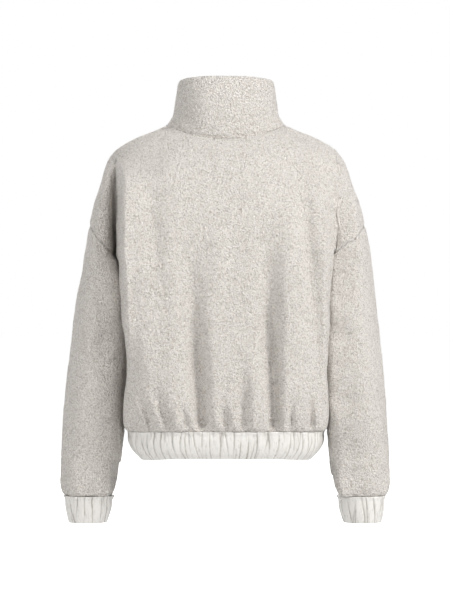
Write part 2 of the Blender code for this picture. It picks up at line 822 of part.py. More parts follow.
def hem_band(material):
    """The hem's band, open at the zip, whose gathers drop a little towards the sides as the hem does."""
    shares, waves = gathers(HEM_GATHERS, seed=11)
    levels = band_levels(HEM_BAND, HEM_SEAM_Z - SEAM_GAP, HEM_Z, hem_ring, shares / shares[-1])
    for level, half_width in zip(levels, HEM_BAND["half_width"]):
        drop = SEAM_SIDE_DROP + (HEM_SIDE_DROP - SEAM_SIDE_DROP) * level[0]
        level[1][:] -= hem_drop(abs(level[2][:, 0]) / half_width, drop)
    return band_solid("hem_band", levels, waves, False, material)


def cuff_band(side, hand, material):
    """A sleeve's band."""
    shares, waves = gathers(CUFF_GATHERS, seed=23 + side)

    def ring(outer, inner, back, front):
        out = LEFT_ARM_OUT if side > 0 else 0.0
        return cuff_ring(side, outer + out, inner + out, back, front)

    levels = band_levels(CUFF_BAND, CUFF_SEAM_Z - SEAM_GAP, CUFF_Z, ring, shares)
    return band_solid("cuff_" + hand, levels, waves, True, material)


# ---------------------------------------------------------------------------------------------------------------
# Zip
# ---------------------------------------------------------------------------------------------------------------


def front_edge():
    """The outside of the jacket along the edge of the left front, from the hem up: depths and heights."""
    edges = [grid(FRONT, 1)[:, 0] for grid in (collar_grid, upper_torso, lower_torso)]
    band = np.zeros((len(HEM_BAND["share"]), 3))
    band[:, 1] = HEM_BAND["front"]
    band[:, 2] = HEM_SEAM_Z - 1.0 + (HEM_Z - HEM_SEAM_Z + 2.0) * HEM_BAND["share"]
    line = np.concatenate([edges[0][:0:-1], edges[1], edges[2][1:], band])[::-1]
    return line[:, 1], line[:, 2]


def front_line(z):
    """The depth of the jacket's outside beside the zip, at any height."""
    y, heights = front_edge()
    return np.interp(z, heights, y)


def zip_depth(z):
    """How far behind the outside the zip's tape lies: behind the wall of the collar, the fleece or the band."""
    at_collar = smooth(z - COLLAR["front_z"][0], *BEHIND_COLLAR_FROM)
    behind_fleece, behind_collar = FLEECE_WALL + TAPE_BEHIND_WALL, COLLAR_WALL + TAPE_BEHIND_COLLAR
    return behind_fleece + (behind_collar - behind_fleece) * at_collar


def zip_heights():
    """The zip's rows lie at the heights of the front's own rows, so that both bend alike."""
    heights = front_edge()[1]
    top = COLLAR["front_z"][-1] - ZIP_TOP_BELOW_COLLAR
    return np.append(heights[heights < top - 2.0], top)


def tape_front(z):
    """The depth of the tape's front face."""
    return front_line(z) + zip_depth(z)


def strip(name, x_low, x_high, front, back, heights, material):
    """A strip that follows the front's centre line, between two widths and two depths."""
    mesh = bmesh.new()
    rows = []
    for z, near, far in zip(heights, front, back):
        corners = ((x_low, near), (x_high, near), (x_high, far), (x_low, far))
        rows.append([mesh.verts.new(Vector((x, y, z)) * MM) for x, y in corners])
    for low, high in zip(rows, rows[1:]):
        for k in range(4):
            mesh.faces.new([low[k], low[(k + 1) % 4], high[(k + 1) % 4], high[k]])
    mesh.faces.new(rows[0][::-1])
    mesh.faces.new(rows[-1])
    bmesh.ops.recalc_face_normals(mesh, faces=mesh.faces)
    return object_from(mesh, name, material)


def zip_strips(tape, metal):
    """Both tapes, a little apart at the centre line, and the chain in front of their gap."""
    heights = zip_heights()
    front = tape_front(heights)
    for side, hand in ((1, "left"), (-1, "right")):
        low, high = sorted((side * TAPE_HALF_GAP, side * (TAPE_WIDTH + TAPE_HALF_GAP)))
        strip("zip_tape_" + hand, low, high, front, front + TAPE_WALL, heights, tape)
    near = front - SEAM_GAP - CHAIN_WALL
    strip("zip_chain", -CHAIN_HALF_WIDTH, CHAIN_HALF_WIDTH, near, front - SEAM_GAP, heights, metal)


def extruded(mesh, outline, half_width):
    """A block with an outline in y and z, as wide as twice half_width."""
    ring = [mesh.verts.new(Vector((-half_width, y, z)) * MM) for y, z in outline]
    face = mesh.faces.new(ring)
    grown = bmesh.ops.extrude_face_region(mesh, geom=[face])["geom"]
    moved = [v for v in grown if isinstance(v, bmesh.types.BMVert)]
    bmesh.ops.translate(mesh, verts=moved, vec=Vector((2 * half_width, 0, 0)) * MM)
    bmesh.ops.recalc_face_normals(mesh, faces=mesh.faces)


def ring_outline(radius, count, start=0.0):
    """Corners of a regular polygon round the origin."""
    turns = start + np.arange(count) * 2 * math.pi / count
    return [(radius * math.cos(t), radius * math.sin(t)) for t in turns]


def slider_frame():
    """The zip slider's place: the top of the chain, and planes just clear of the chain's and the tape's faces."""
    top = zip_heights()[-1]
    beside = tape_front(np.linspace(top - SLIDER_LENGTH - 2.0, top, 12))
    front = float(beside.min()) - SEAM_GAP - CHAIN_WALL - SEAM_GAP
    return top, front, float(beside.max()) + TAPE_WALL + SEAM_GAP


def bail_place():
    """The axis of the bail, which is the axis that the pull tab swings on: its depth and its height."""
    top, face, _ = slider_frame()
    return face - SLIDER_PLATE - BAIL_STAND, top - BAIL_BELOW_TOP


def zip_slider(metal):
    """Two plates that hold the chain and the tape between them, joined by a crown above the chain, and a bail."""
    top, front, back = slider_frame()
    low = top - SLIDER_LENGTH
    crown = top + SEAM_GAP
    high = crown + SLIDER_CROWN
    outline = [
        (front, low),
        (front - SLIDER_PLATE, low + PLATE_BEVEL),
        (front - SLIDER_PLATE, high - CROWN_BEVEL),
        (front - CROWN_BEVEL, high),
        (back + CROWN_BEVEL, high),
        (back + SLIDER_PLATE, high - CROWN_BEVEL),
        (back + SLIDER_PLATE, low + PLATE_BEVEL),
        (back, low),
        (back, crown),
        (front, crown),
    ]
    body = bmesh.new()
    extruded(body, outline, SLIDER_HALF_WIDTH)
    slider = object_from(body, "zip_slider", metal)
    y, z = bail_place()
    bail = bmesh.new()
    bar = [(y + a, z + b) for a, b in ring_outline(BAIL_RADIUS, 12)]
    extruded(bail, bar, BAIL_HALF_WIDTH)
    joined_with(slider, bail, metal)
    for side in (1, -1):
        leg = bmesh.new()
        near, reach, low, high = y - BAIL_LEG, front - SLIDER_PLATE / 2, z - BAIL_LEG, z + BAIL_LEG
        extruded(leg, [(near, low), (reach, low), (reach, high), (near, high)], BAIL_LEG / 2)
        bmesh.ops.translate(leg, verts=leg.verts, vec=Vector((side * (BAIL_HALF_WIDTH - BAIL_LEG / 2), 0, 0)) * MM)
        joined_with(slider, leg, metal)
    return slider


def joined_with(target, mesh, material):
    """Joins a shape to an object with a Boolean union, whose second shape is left as a hidden helper."""
    helper = object_from(mesh, target.name + "_add", material)
    helper.hide_render = True
    helper.display_type = "WIRE"
    union = target.modifiers.new("join", "BOOLEAN")
    union.operation = "UNION"
    union.solver = "EXACT"
    union.object = helper


def zip_pull(metal):
    """The pull tab: an eye that turns on the slider's bail, and a flat tongue that hangs from it."""
    y, z = bail_place()
    eye = bmesh.new()
    count = 20
    start = -math.pi / 2 + math.pi / count
    outer = [(y + a, z + b) for a, b in ring_outline(EYE_OUTER, count, start)]
    extruded(eye, outer, EYE_HALF_WIDTH)
    pull = object_from(eye, "zip_pull", metal)
    tongue = bmesh.new()
    half, top, low = PULL_WALL / 2, z - EYE_OUTER + PULL_IN_EYE, z - EYE_OUTER - PULL_LENGTH
    neck = top - PULL_NECK
    shape = [
        (-EYE_HALF_WIDTH, top),
        (-EYE_HALF_WIDTH, neck),
        (-PULL_HALF_WIDTH, neck - PULL_SHOULDER),
        (-PULL_HALF_WIDTH, low + PULL_TIP_BEVEL),
        (PULL_TIP_BEVEL - PULL_HALF_WIDTH, low),
    ]
    shape += [(-a, b) for a, b in reversed(shape)]
    ring = [tongue.verts.new(Vector((a, y - half, b)) * MM) for a, b in shape]
    face = tongue.faces.new(ring)
    grown = bmesh.ops.extrude_face_region(tongue, geom=[face])["geom"]
    moved = [v for v in grown if isinstance(v, bmesh.types.BMVert)]
    bmesh.ops.translate(tongue, verts=moved, vec=Vector((0, 2 * half, 0)) * MM)
    bmesh.ops.recalc_face_normals(tongue, faces=tongue.faces)
    joined_with(pull, tongue, metal)
    hole = bmesh.new()
    extruded(hole, [(y + a, z + b) for a, b in ring_outline(EYE_INNER, 16)], EYE_HALF_WIDTH + 1)
    cutter = object_from(hole, "zip_pull_eye", metal)
    cutter.hide_render = True
    cutter.display_type = "WIRE"
    cut = pull.modifiers.new("eye", "BOOLEAN")
    cut.operation = "DIFFERENCE"
    cut.solver = "EXACT"
    cut.object = cutter
    return pull


def material(name, colour, roughness, metallic=0.0):
    """A plain named finish."""
    made = bpy.data.materials.new(name)
    made.use_nodes = True
    shader = made.node_tree.nodes["Principled BSDF"]
    shader.inputs["Base Color"].default_value = (*colour, 1.0)
    shader.inputs["Roughness"].default_value = roughness
    shader.inputs["Metallic"].default_value = metallic
    return made


def main():
    """Builds every node."""
    for old in list(bpy.data.objects):
        bpy.data.objects.remove(old)
    fleece = material("fleece", (0.66, 0.62, 0.58), 0.95)
    satin = material("satin", (0.74, 0.71, 0.68), 0.35)
    tape = material("zip_tape", (0.62, 0.58, 0.54), 0.85)
    metal = material("zip_metal", (0.70, 0.69, 0.67), 0.3, 1.0)
    form, layer = make_sheet()
    for index, name in enumerate(PANELS):
        wall = COLLAR_WALL if name == "collar" else FLEECE_WALL
        object_from(panel_mesh(form, layer, index, wall), name, fleece)
    form.free()
    hem_band(satin)
    for side, hand in ((1, "left"), (-1, "right")):
        cuff_band(side, hand, satin)
    zip_strips(tape, metal)
    zip_slider(metal)
    zip_pull(metal)


main()
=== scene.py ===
"""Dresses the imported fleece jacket: curly pile on each panel, gathered satin bands, and a zip with its teeth.

The form comes from the same short tables as the solids, read far more finely, so that each piece of cloth
lies where its solid is. Sizes are in millimetres until a mesh is made. +X is the wearer's left, -Y the
front, +Z up. Tables of heights start at the top, and each side of the body or the arm is 1 (left) or -1.
"""

import math

import bmesh
import bpy
import numpy as np
from mathutils import Matrix, Vector, kdtree


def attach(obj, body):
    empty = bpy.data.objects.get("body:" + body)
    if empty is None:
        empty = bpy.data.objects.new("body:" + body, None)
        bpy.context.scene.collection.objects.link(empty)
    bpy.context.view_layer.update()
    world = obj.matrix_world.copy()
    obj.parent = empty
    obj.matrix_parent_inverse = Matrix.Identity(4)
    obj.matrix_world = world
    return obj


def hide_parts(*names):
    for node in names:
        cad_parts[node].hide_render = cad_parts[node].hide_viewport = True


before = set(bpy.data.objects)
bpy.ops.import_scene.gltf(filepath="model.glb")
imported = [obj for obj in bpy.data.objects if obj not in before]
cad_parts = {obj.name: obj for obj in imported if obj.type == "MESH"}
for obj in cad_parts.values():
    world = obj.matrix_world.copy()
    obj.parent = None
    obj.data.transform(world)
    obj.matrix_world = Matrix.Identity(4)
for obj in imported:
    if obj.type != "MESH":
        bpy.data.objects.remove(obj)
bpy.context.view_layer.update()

MM = 0.001

# The wearer's sides, by the sign of x
HANDS = {1: "left", -1: "right"}

# Cloth. Points of the fleece closer than the weld are one point.
FLEECE_WALL = 4.0
COLLAR_WALL = 7.0
BAND_WALL = 2.4
SEAM_GAP = 0.3
WELD = 0.02

# Where the bottom of the fold between arm and body runs, from the shoulder's edge to the armpit
CREASE_TOP_X = 186.0
CREASE_LOW_X = 187.5

# Heights of the seams, from the shoulder's neck point, and the depths of the side and shoulder seams
DROP_Z = -160.0
ARMPIT_Z = -212.0
HEM_SEAM_Z = -505.0
HEM_Z = -551.0
CUFF_SEAM_Z = -620.0
CUFF_Z = -666.0
SIDE_Y = -10.0
SHOULDER_Y = -4.0

# The fold between the arm and the body. Behind the right arm it is nearly closed above the armpit.
FOLD_WIDTH = 7.0
FOLD_ROUNDING = 14.0
FOLD_SHARES = (0.9, 0.97)
RIGHT_CLOSED = 0.8
RIGHT_CLOSING = 7.0
CREASE_FADE = {1: (-44.0, -84.0), -1: (-52.0, -150.0)}
PINCH_REACH = 62.0
PINCH_SHARES = (0.5, 0.9)
HEM_PINCH = 4.0

# How far from the side line the long folds begin and are whole, and how far above the hem seam they end
FOLDS_FROM_SIDE = (8.0, 45.0)
FOLDS_OVER_HEM = (-6.0, 16.0)

# Shares of a fold's run over which it deepens, and over which one that ends above the hem comes and goes
FOLD_DEEPENS = (-0.12, 0.75)
SHORT_FOLD_BEGINS = (-0.1, 0.45)
SHORT_FOLD_ENDS = (1.6, 1.0)
SLEEVE_FOLD_BEGINS = (0.0, 0.5)
SLEEVE_FOLD_ENDS = (1.0, 0.5)

# How much further out the left arm hangs than the right, how much further in its shoulder lies, and the
# heights between which each of the two comes and goes
LEFT_ARM_OUT = 3.0
LEFT_OUT_HEIGHTS = (-230.0, -340.0)
LEFT_WRIST_HEIGHTS = (-470.0, -570.0)
LEFT_SHOULDER_IN = 3.0
LEFT_IN_BEGINS = (-40.0, -80.0)
LEFT_IN_ENDS = (-290.0, -220.0)

# How much lower the hem lies at the sides, the height where that begins, and the share of the half width
SEAM_SIDE_DROP = 1.5
HEM_SIDE_DROP = 4.0
SIDE_DROP_FROM = -400.0
DROP_FROM_SHARE = 0.45

# Squareness of the sections, 2 being an ellipse
YOKE_POWER = 2.1
TORSO_POWER = 3.3
COLLAR_POWER = 2.15
SLEEVE_POWER = 2.1

# Half gap between the front edges, which the zip fills
ZIP_EDGE_X = 8.0

# Depths that the columns of neck, body and hem are spaced for
NECK_DEPTH = 90.0
TORSO_DEPTH = 140.0
HEM_DEPTH = 110.0

# Cells of the solids in one quarter of the garment, and points on a quarter of a band's line
NECK_COLUMNS = 8
SHOULDER_COLUMNS = 6
ARM_COLUMNS = 10
UPPER_ROWS = 11
LOWER_ROWS = 14
SLEEVE_ROWS = 17
COLLAR_ROWS = 7
RING_POINTS = 200

# How far along a band's line its direction is taken over, to each side
RING_SIGHT = 3.0

# Above 1, rows lie closer together near the seam or edge they start from
COLLAR_CROWDING = 1.25
SHOULDER_CROWDING = 1.3
HEM_CROWDING = 1.25
CUFF_CROWDING = 1.35

# Share of the height over which the first rows are drawn onto the neck and shoulder seams, and the last ones
# of the dropped shoulder onto the armhole
SEAM_DRAW = 0.34
ARMHOLE_DRAW = 0.6

# Share of the way down over which the columns pass from the seams' spacing to that of the body
SPACING_CHANGES = 0.8

# How finely a curve is measured before it is divided
CURVE_POINTS = 3000
RIDGE_POINTS = 4000


def table(text):
    """A named table: the first line holds the column names, and each further line one section."""
    lines = [line.split() for line in text.strip().splitlines()]
    values = np.array(lines[1:], float)
    return {name: values[:, i] for i, name in enumerate(lines[0])}


# The silhouette of the shoulders and arms seen from behind.
OUTLINE = table("""
    z      half_width
    9      101
    5      111
    0      122
    -5     135
    -10    148
    -15    159.5
    -20    169
    -25.5  178
    -32    186
    -40    193.5
    -48    199.5
    -63    207
    -90    216
    -117   224.5
    -144   232
    -165   236
    -185   240
    -212   245
    -240   248.5
    -267   251.5
    -300   255.5
    -350   261
    -400   267
    -450   272
    -530   277
    -575   279
    -598   280
    -610   278.5
    -617   274
    -620   269.5
""")


# Where the back and the front lie at the centre line, and how far the arm presses the body's side in.
BODY = table("""
    z       back  front  pinch
    9       52    -54    0
    2       60    -62    0
    -8      70    -70    0
    -17     78    -78    0
    -45     98    -95    0
    -80     113   -107   0
    -120    124   -126   0
    -165    130   -140   0
    -212    132   -145   0
    -222    132   -145   15
    -240    132   -144   25
    -262    131   -143   36
    -300    130   -140   43
    -350    129   -137   44
    -400    128   -134   38
    -440    127   -131   31
    -470    126   -129   23
    -489    123   -126   15
    -499.5  118   -121   9
    -505    111   -114   5
""")

# How wide the body is below the armpit, at the corner of its squarish section
BODY_SIDE = table("""
    z       corner
    -212    187.5
    -240    191
    -270    193.5
    -350    193.5
    -440    190
    -470    188
    -489    186
    -499.5  181
    -505    174
""")


# The bottom of the fold between the arm and the body, above the armpit. Behind the right arm it is shallow.
RIGHT_CREASE = table("""
    z     back  front
    -30   40    -48
    -60   60    -56
    -95   74    -52
    -130  83    -42
    -170  87    -26
    -204  82    -12
    -212  -10   -10
""")
CREASE = table("""
    z     back  front
    -30   40    -48
    -60   44    -56
    -95   38    -52
    -130  24    -42
    -170  6     -26
    -212  -10   -10
""")

# How much further back each arm's cloth stands, pressed against the body, and the heights over which that
# comes and goes
BULGE = {1: 16.0, -1: 26.0}
BULGE_BEGINS = (-60.0, -150.0)
BULGE_ENDS = (-560.0, -465.0)

# The power of the inner half of each arm's section behind, which is squarer for being pressed, and how far in
# from the arm's middle it is so
FULLNESS = {1: 2.8, -1: 5.2}
INNER_HALF = -0.35

# How softly the back runs into the fold beside the right arm, where the fold lies far back, near the side
RIGHT_ROUNDING = 14.0
ROUNDED_BEHIND = 40.0
ROUNDED_SHARES = (0.5, 0.85)

# How much squarer the back is than the front: 0 stands for near the hem, 1 and -1 for its sides higher up
BACK_SQUARER = {0: 0.8, 1: 4.7, -1: 2.4}
SQUARER_BEGINS = (-60.0, -130.0)
SQUARER_CHANGES = (-430.0, -310.0)

# How much further in the back of the right arm reaches, squeezed against the body, and the shares of its
# section, out and across, over which it does
FILL_OUT = (0.3, 0.85)
FILL_ACROSS = (0.45, 0.1)
RIGHT_FILL = table("""
    z     inward
    -198  0
    -206  9
    -212  15
    -220  13
    -235  8
    -260  3
    -330  2
    -400  5
    -450  6
    -500  3
    -540  0
""")

# How much narrower the back is beside each arm: above the armpit, and below it by height. It begins between
# two shares of the half width, and ends close to the side.
TUCK_ABOVE = 5.0
TUCK_FADE = 25.0
TUCK_SHARES = (0.6, 0.93)
TUCK_ENDS = {1: 0.9985, -1: 0.985}
TUCK = table("""
    z     left  right
    -212  5     0
    -230  10    3
    -250  14    8
    -300  18    13
    -350  18    13
    -400  15    11
    -450  5     5
    -480  1     1
    -505  0     0
""")

# The arm: its inner side, and where its back and its front lie. side is where its widest place lies.
ARM = table("""
    z     inner  back  front  side
    -30   187    36    -44    -4
    -60   187    50    -62    -4
    -95   187.5  57    -72    -4
    -130  187.5  62    -80    -4
    -170  187.5  66    -86    -5
    -212  187.5  68    -89    -10
    -222  180    67    -88    -10
    -240  173    66    -86    -10
    -262  167    64    -84    -10
    -300  163    60    -81    -11
    -350  162    56    -78    -12
    -400  165    50    -75    -13
    -450  171    44    -72    -15
    -530  176    36    -70    -18
    -575  180    31    -69    -20
    -598  182.5  29    -69    -20
    -610  184.5  27    -67    -20
    -617  189    22    -62    -20
    -620  192.5  17    -57    -20
""")

# The stand collar, from its seam to its top edge; the top rolls in a little.
COLLAR = table("""
    height  half_width  back  front  back_z  side_z  front_z
    0.00    101         78    -105   -17     9       -75
    0.07    98          79    -108   -9      13      -67
    0.16    94.5        79    -111   0       18      -57
    0.28    90          79    -113   12      26.5    -43
    0.50    87.5        78    -114   35      43.5    -18
    0.75    85.5        75    -114   61      62      6
    0.92    84          71    -113   79      76      22
    1.00    82          68    -112   86.5    83      30
""")


# Long folds of the back, which hang from the shoulders or rise from the gathered hem. A negative depth is a
# ridge.
BACK_FOLDS = table("""
    x_top  z_top  x_low  z_low  width_top  width_low  depth
    64     -170   37     -520   20         11         25
    -65    -150   -82    -520   18         10         25
    120    -30    114    -240   16         20         5
    14     -150   12     -250   16         16         -4
    171    -70    169    -300   12         12         -14
    -168   -110   -166   -320   9          9          -5
    -124   -50    -149   -360   13         15         12
    146    -40    122    -180   12         14         4
    -112   -150   -104   -300   22         20         -6
    88     -190   84     -520   20         14         -3
    -42    -330   -52    -520   16         12         -4
    146    -435   122    -505   8          6          10
    153    -462   138    -505   6          5          5
    116    -430   94     -505   9          6          11
    76     -452   61     -505   7          5          8
    8      -445   -2     -505   8          6          8
    -26    -380   -29    -505   12         7          10
    -57    -465   -56    -505   7          5          5
    -108   -440   -107   -505   8          6          10
    -136   -430   -142   -505   8          6          13
    -164   -420   -170   -505   8          6          12
""")

# Folds of the two fronts, of the same kind and as uneven.
FRONT_FOLDS = table("""
    x_top  z_top  x_low  z_low  width_top  width_low  depth
    58     -225   52     -520   18         13         17
    -50    -240   -60    -520   18         13         18
    112    -190   110    -520   18         12         11
    -118   -210   -112   -520   17         11         12
    132    -60    146    -170   14         16         6
    -134   -60    -148   -165   14         16         6
    148    -415   146    -520   12         9          9
    -86    -435   -88    -520   10         8          8
    30     -430   29     -520   9          7          7
    -30    -425   -28    -520   9          7          7
    84     -425   82     -520   9          8          8
    -142   -425   -138   -520   9          8          8
    130    -450   128    -520   8          7          6
""")


# Soft folds of the sleeves: where round the arm each lies, in degrees from the outer side towards the back.
# Those of the right arm that end above the cuff lie higher, and all of its folds a little further round.
RIGHT_FOLDS_HIGHER = 16.0
RIGHT_FOLDS_TURNED = 9.0
SLEEVE_FOLDS_BEGIN = (-205.0, -240.0)
SLEEVE_FOLDS = table("""
    angle_top  z_top  angle_low  z_low  width  depth
    70         -215   95         -330   22     4
    140        -300   70         -400   20     4.5
    200        -320   275        -410   22     5
    250        -240   300        -330   20     4
    120        -430   60         -520   20     4
    215        -450   270        -540   20     4
    150        -540   165        -622   18     5
    88         -560   90         -622   17     4
    30         -565   35         -622   17     4
    215        -550   210        -622   17     5
    268        -560   270        -622   17     5
    326        -560   322        -622   17     4
""")

# Profile of the satin bands, from the seam to the bottom edge
HEM_BAND = table("""
    share  half_width  back  front
    0.00   168         108   -111
    0.30   170         110   -113
    0.76   162         107   -110
    1.00   151         101   -104
""")
CUFF_BAND = table("""
    share  outer  inner  back  front
    0.00   268    193.5  16    -56
    0.25   270    193    17    -57
    0.75   268    197    15    -55
    1.00   265    201    12    -52
""")

# The zip: its tapes, how far they lie behind the wall of the fleece and of the collar, and its chain
TAPE_WIDTH = 15.0
TAPE_WALL = 1.0
TAPE_HALF_GAP = 0.4
TAPE_BEHIND_WALL = 1.5
TAPE_BEHIND_COLLAR = 2.9
BEHIND_COLLAR_FROM = (-18.0, 4.0)
CHAIN_WALL = 2.6
ZIP_TOP_BELOW_COLLAR = 5.0


def smooth(value, low, high):
    """0 at low, 1 at high, and an even S between them; low may be the larger."""
    t = np.clip((np.asarray(value, float) - low) / (high - low), 0.0, 1.0)
    return t * t * (3.0 - 2.0 * t)


def between(first, last, share):
    """A value at a share of the way from the first to the last."""
    return first + (last - first) * share


def read(columns, name, at):
    """A column of a table at any place between its rows, on a smooth curve that doesn't overshoot. The first
    column says where each row lies."""
    x, y = next(iter(columns.values())), columns[name]
    if x[0] > x[-1]:
        x, y = x[::-1], y[::-1]
    step, rise = np.diff(x), np.diff(y)
    slope = rise / step
    mean = (slope[:-1] * step[1:] + slope[1:] * step[:-1]) / (step[1:] + step[:-1])
    mean = np.where(slope[:-1] * slope[1:] <= 0, 0.0, mean)
    limit = 2.0 * np.minimum(abs(slope[:-1]), abs(slope[1:]))
    tangent = np.concatenate([[slope[0]], np.clip(mean, -limit, limit), [slope[-1]]])
    at = np.clip(np.asarray(at, float), x[0], x[-1])
    i = np.clip(np.searchsorted(x, at, side="right") - 1, 0, len(x) - 2)
    h = step[i]
    t = (at - x[i]) / h
    return (
        y[i] * (1 + 2 * t) * (1 - t) ** 2
        + tangent[i] * h * t * (1 - t) ** 2
        + y[i + 1] * t * t * (3 - 2 * t)
        + tangent[i + 1] * h * t * t * (t - 1)
    )


def arc(share, power):
    """The height of a quarter superellipse of unit size, at a share of its half width."""
    return (1.0 - np.clip(share, 0.0, 1.0) ** power) ** (1.0 / power)


def run_of(*across):
    """How far along a line each of its points lies, from the line's coordinates."""
    return np.concatenate([[0.0], np.cumsum(np.hypot(*(np.diff(values) for values in across)))])


def even_shares(count, power, width, depth):
    """Shares of the half width that divide a quarter superellipse into stretches of equal length."""
    fine = np.linspace(0.0, math.pi / 2, CURVE_POINTS)
    x, y = np.sin(fine) ** (2 / power), np.cos(fine) ** (2 / power)
    run = run_of(width * x, depth * y)
    shares = np.interp(np.linspace(0.0, run[-1], count + 1), run, x)
    shares[-1] = 1.0
    return shares


def folds_at(folds, x, z):
    """How far the cloth sinks at a place on the back or the front: the sum of its folds."""
    sunk = np.zeros(np.shape(x))
    for row in zip(*folds.values()):
        x_top, z_top, x_low, z_low, width_top, width_low, depth = row
        down = (z - z_top) / (z_low - z_top)
        along = np.clip(down, 0.0, 1.0)
        middle = between(x_top, x_low, along)
        width = between(width_top, width_low, along)
        fade = smooth(down, *FOLD_DEEPENS)
        if z_low > HEM_SEAM_Z:
            fade = smooth(down, *SHORT_FOLD_BEGINS) * smooth(down, *SHORT_FOLD_ENDS)
        sunk += depth * fade * np.exp(-(((x - middle) / width) ** 2))
    return sunk * smooth(z - HEM_SEAM_Z, *FOLDS_OVER_HEM)


class Face:
    """One side of the body, back or front: which way it looks, and its tables."""

    def __init__(self, name, sign, folds):
        self.name = name
        self.sign = sign
        self.folds = folds

    def centre(self, z):
        """Where the centre line lies."""
        return read(BODY, self.name, z)

    def crease(self, side, z):
        """Where the bottom of the arm's fold lies; below the armpit that is the plane of the side seams."""
        return np.where(z > ARMPIT_Z, read(CREASE if side > 0 else RIGHT_CREASE, self.name, z), SIDE_Y)


BACK = Face("back", 1, BACK_FOLDS)
FRONT = Face("front", -1, FRONT_FOLDS)


def arm_edge(name, side, z):
    """The arm's outer or inner side, seen from behind."""
    if name == "outer":
        shoulder_in = LEFT_SHOULDER_IN * smooth(z, *LEFT_IN_BEGINS) * smooth(z, *LEFT_IN_ENDS)
        left = LEFT_ARM_OUT * smooth(z, *LEFT_OUT_HEIGHTS) - shoulder_in
        return read(OUTLINE, "half_width", z) + (side > 0) * left
    return read(ARM, "inner", z) + (side > 0) * LEFT_ARM_OUT * smooth(z, *LEFT_WRIST_HEIGHTS)


def ridge_z(x):
    """The height of the shoulder seam at a place along it."""
    z = np.linspace(OUTLINE["z"][0], ARMPIT_Z, RIDGE_POINTS)
    return np.interp(x, read(OUTLINE, "half_width", z), z)


CREASE_TOP_Z = float(ridge_z(CREASE_TOP_X))


def crease_x(z):
    """Where the bottom of the arm's fold lies, seen from behind; below the armpit, the body's plain side."""
    down = np.clip((CREASE_TOP_Z - z) / (CREASE_TOP_Z - ARMPIT_Z), 0.0, 1.0)
    return np.where(z > ARMPIT_Z, between(CREASE_TOP_X, CREASE_LOW_X, down), read(BODY_SIDE, "corner", z))


def yoke_y(face, side, x, z):
    """The shoulders as plain rounded sections, with no fold at the arm."""
    width = arm_edge("outer", side, z)
    return between(SHOULDER_Y, face.centre(z), arc(x / width, YOKE_POWER))


def torso_power(face, side, z):
    """How square the body's section is; behind it is squarer between the shoulders and the hem."""
    if face is FRONT:
        return TORSO_POWER
    squarer = between(BACK_SQUARER[0], BACK_SQUARER[side], smooth(z, *SQUARER_CHANGES))
    return TORSO_POWER + squarer * smooth(z, *SQUARER_BEGINS) * smooth(z, HEM_SEAM_Z, SQUARER_CHANGES[0])


def tucked(face, side, share, z):
    """How much narrower the back is, beside the arms, than the plain section."""
    if face is FRONT:
        return 0.0
    above = TUCK_ABOVE * smooth(z, *SQUARER_BEGINS)
    if side < 0:
        above = above * smooth(z, ARMPIT_Z, ARMPIT_Z + TUCK_FADE)
    most = np.where(z > ARMPIT_Z, above, read(TUCK, HANDS[side], z))
    return most * smooth(share, *TUCK_SHARES) * smooth(share, 1.0, TUCK_ENDS[side])


def creased_body(face, side, share, z):
    """How far back or forward the body lies beside the arm's fold. Behind the right arm it stays full."""
    crease = face.crease(side, z)
    power = torso_power(face, side, z)
    if face is FRONT or side > 0:
        return between(crease, face.centre(z), arc(share, power))
    over = between(SIDE_Y, face.centre(z), arc(share, power)) - crease
    rounding = RIGHT_ROUNDING * smooth(crease - SIDE_Y, 0.0, ROUNDED_BEHIND) * smooth(share, *ROUNDED_SHARES)
    return crease + (over + np.sqrt(over**2 + rounding**2)) / 2


def crease_share(side, z):
    """How far the fold at the arm has formed: 0 at the top of the shoulder, 1 lower down."""
    return smooth(z, *CREASE_FADE[side])


def fold_opening(y, low):
    """How far each wall of the arm's fold is drawn back from its middle, by the height over its bottom."""
    return FOLD_WIDTH / 2 * smooth(abs(y - low), 0.0, FOLD_ROUNDING)


def placed(face, side, x, y, z):
    """Points of the sheet from their place on one side of the body, with the long folds sunk in."""
    sunk = folds_at(face.folds, side * x, z) * smooth(abs(y - SIDE_Y), *FOLDS_FROM_SIDE)
    return np.stack([side * x, y - face.sign * sunk, z + 0.0 * x], axis=-1)


def collar_point(face, share, height):
    """A place on the collar, by its share of the half width and of the height."""
    names = ("half_width", face.name, "side_z", face.name + "_z")
    width, middle_y, side_z, middle_z = (read(COLLAR, name, height) for name in names)
    round_off = arc(share, COLLAR_POWER)
    y = between(SHOULDER_Y, middle_y, round_off)
    return width * share, y, between(side_z, middle_z, round_off**COLLAR_POWER)


def beside_zip(face, share, width):
    """The front stops short of the centre line, to leave room for the zip."""
    if face is BACK:
        return share
    edge = ZIP_EDGE_X / width
    return edge + share * (1.0 - edge)


def torso_shares(face, fine):
    """Places along a quarter of the body, as shares of its half width."""
    columns = (NECK_COLUMNS + SHOULDER_COLUMNS) * fine
    return beside_zip(face, even_shares(columns, TORSO_POWER, CREASE_LOW_X, TORSO_DEPTH), CREASE_LOW_X)


def neck_shares(fine):
    """Places along a quarter of the neck seam, as shares of its half width."""
    return even_shares(NECK_COLUMNS * fine, COLLAR_POWER, COLLAR["half_width"][0], NECK_DEPTH)


def collar_grid(face, side, fine=1):
    """One quarter of the collar, in rows from its seam to its top edge."""
    rows = COLLAR_ROWS * fine
    height = np.linspace(0.0, 1.0, rows + 1)[:, None] ** COLLAR_CROWDING
    width = read(COLLAR, "half_width", height)
    x, y, z = collar_point(face, beside_zip(face, neck_shares(fine)[None, :], width), height)
    return np.stack([side * x, y, z], axis=-1)


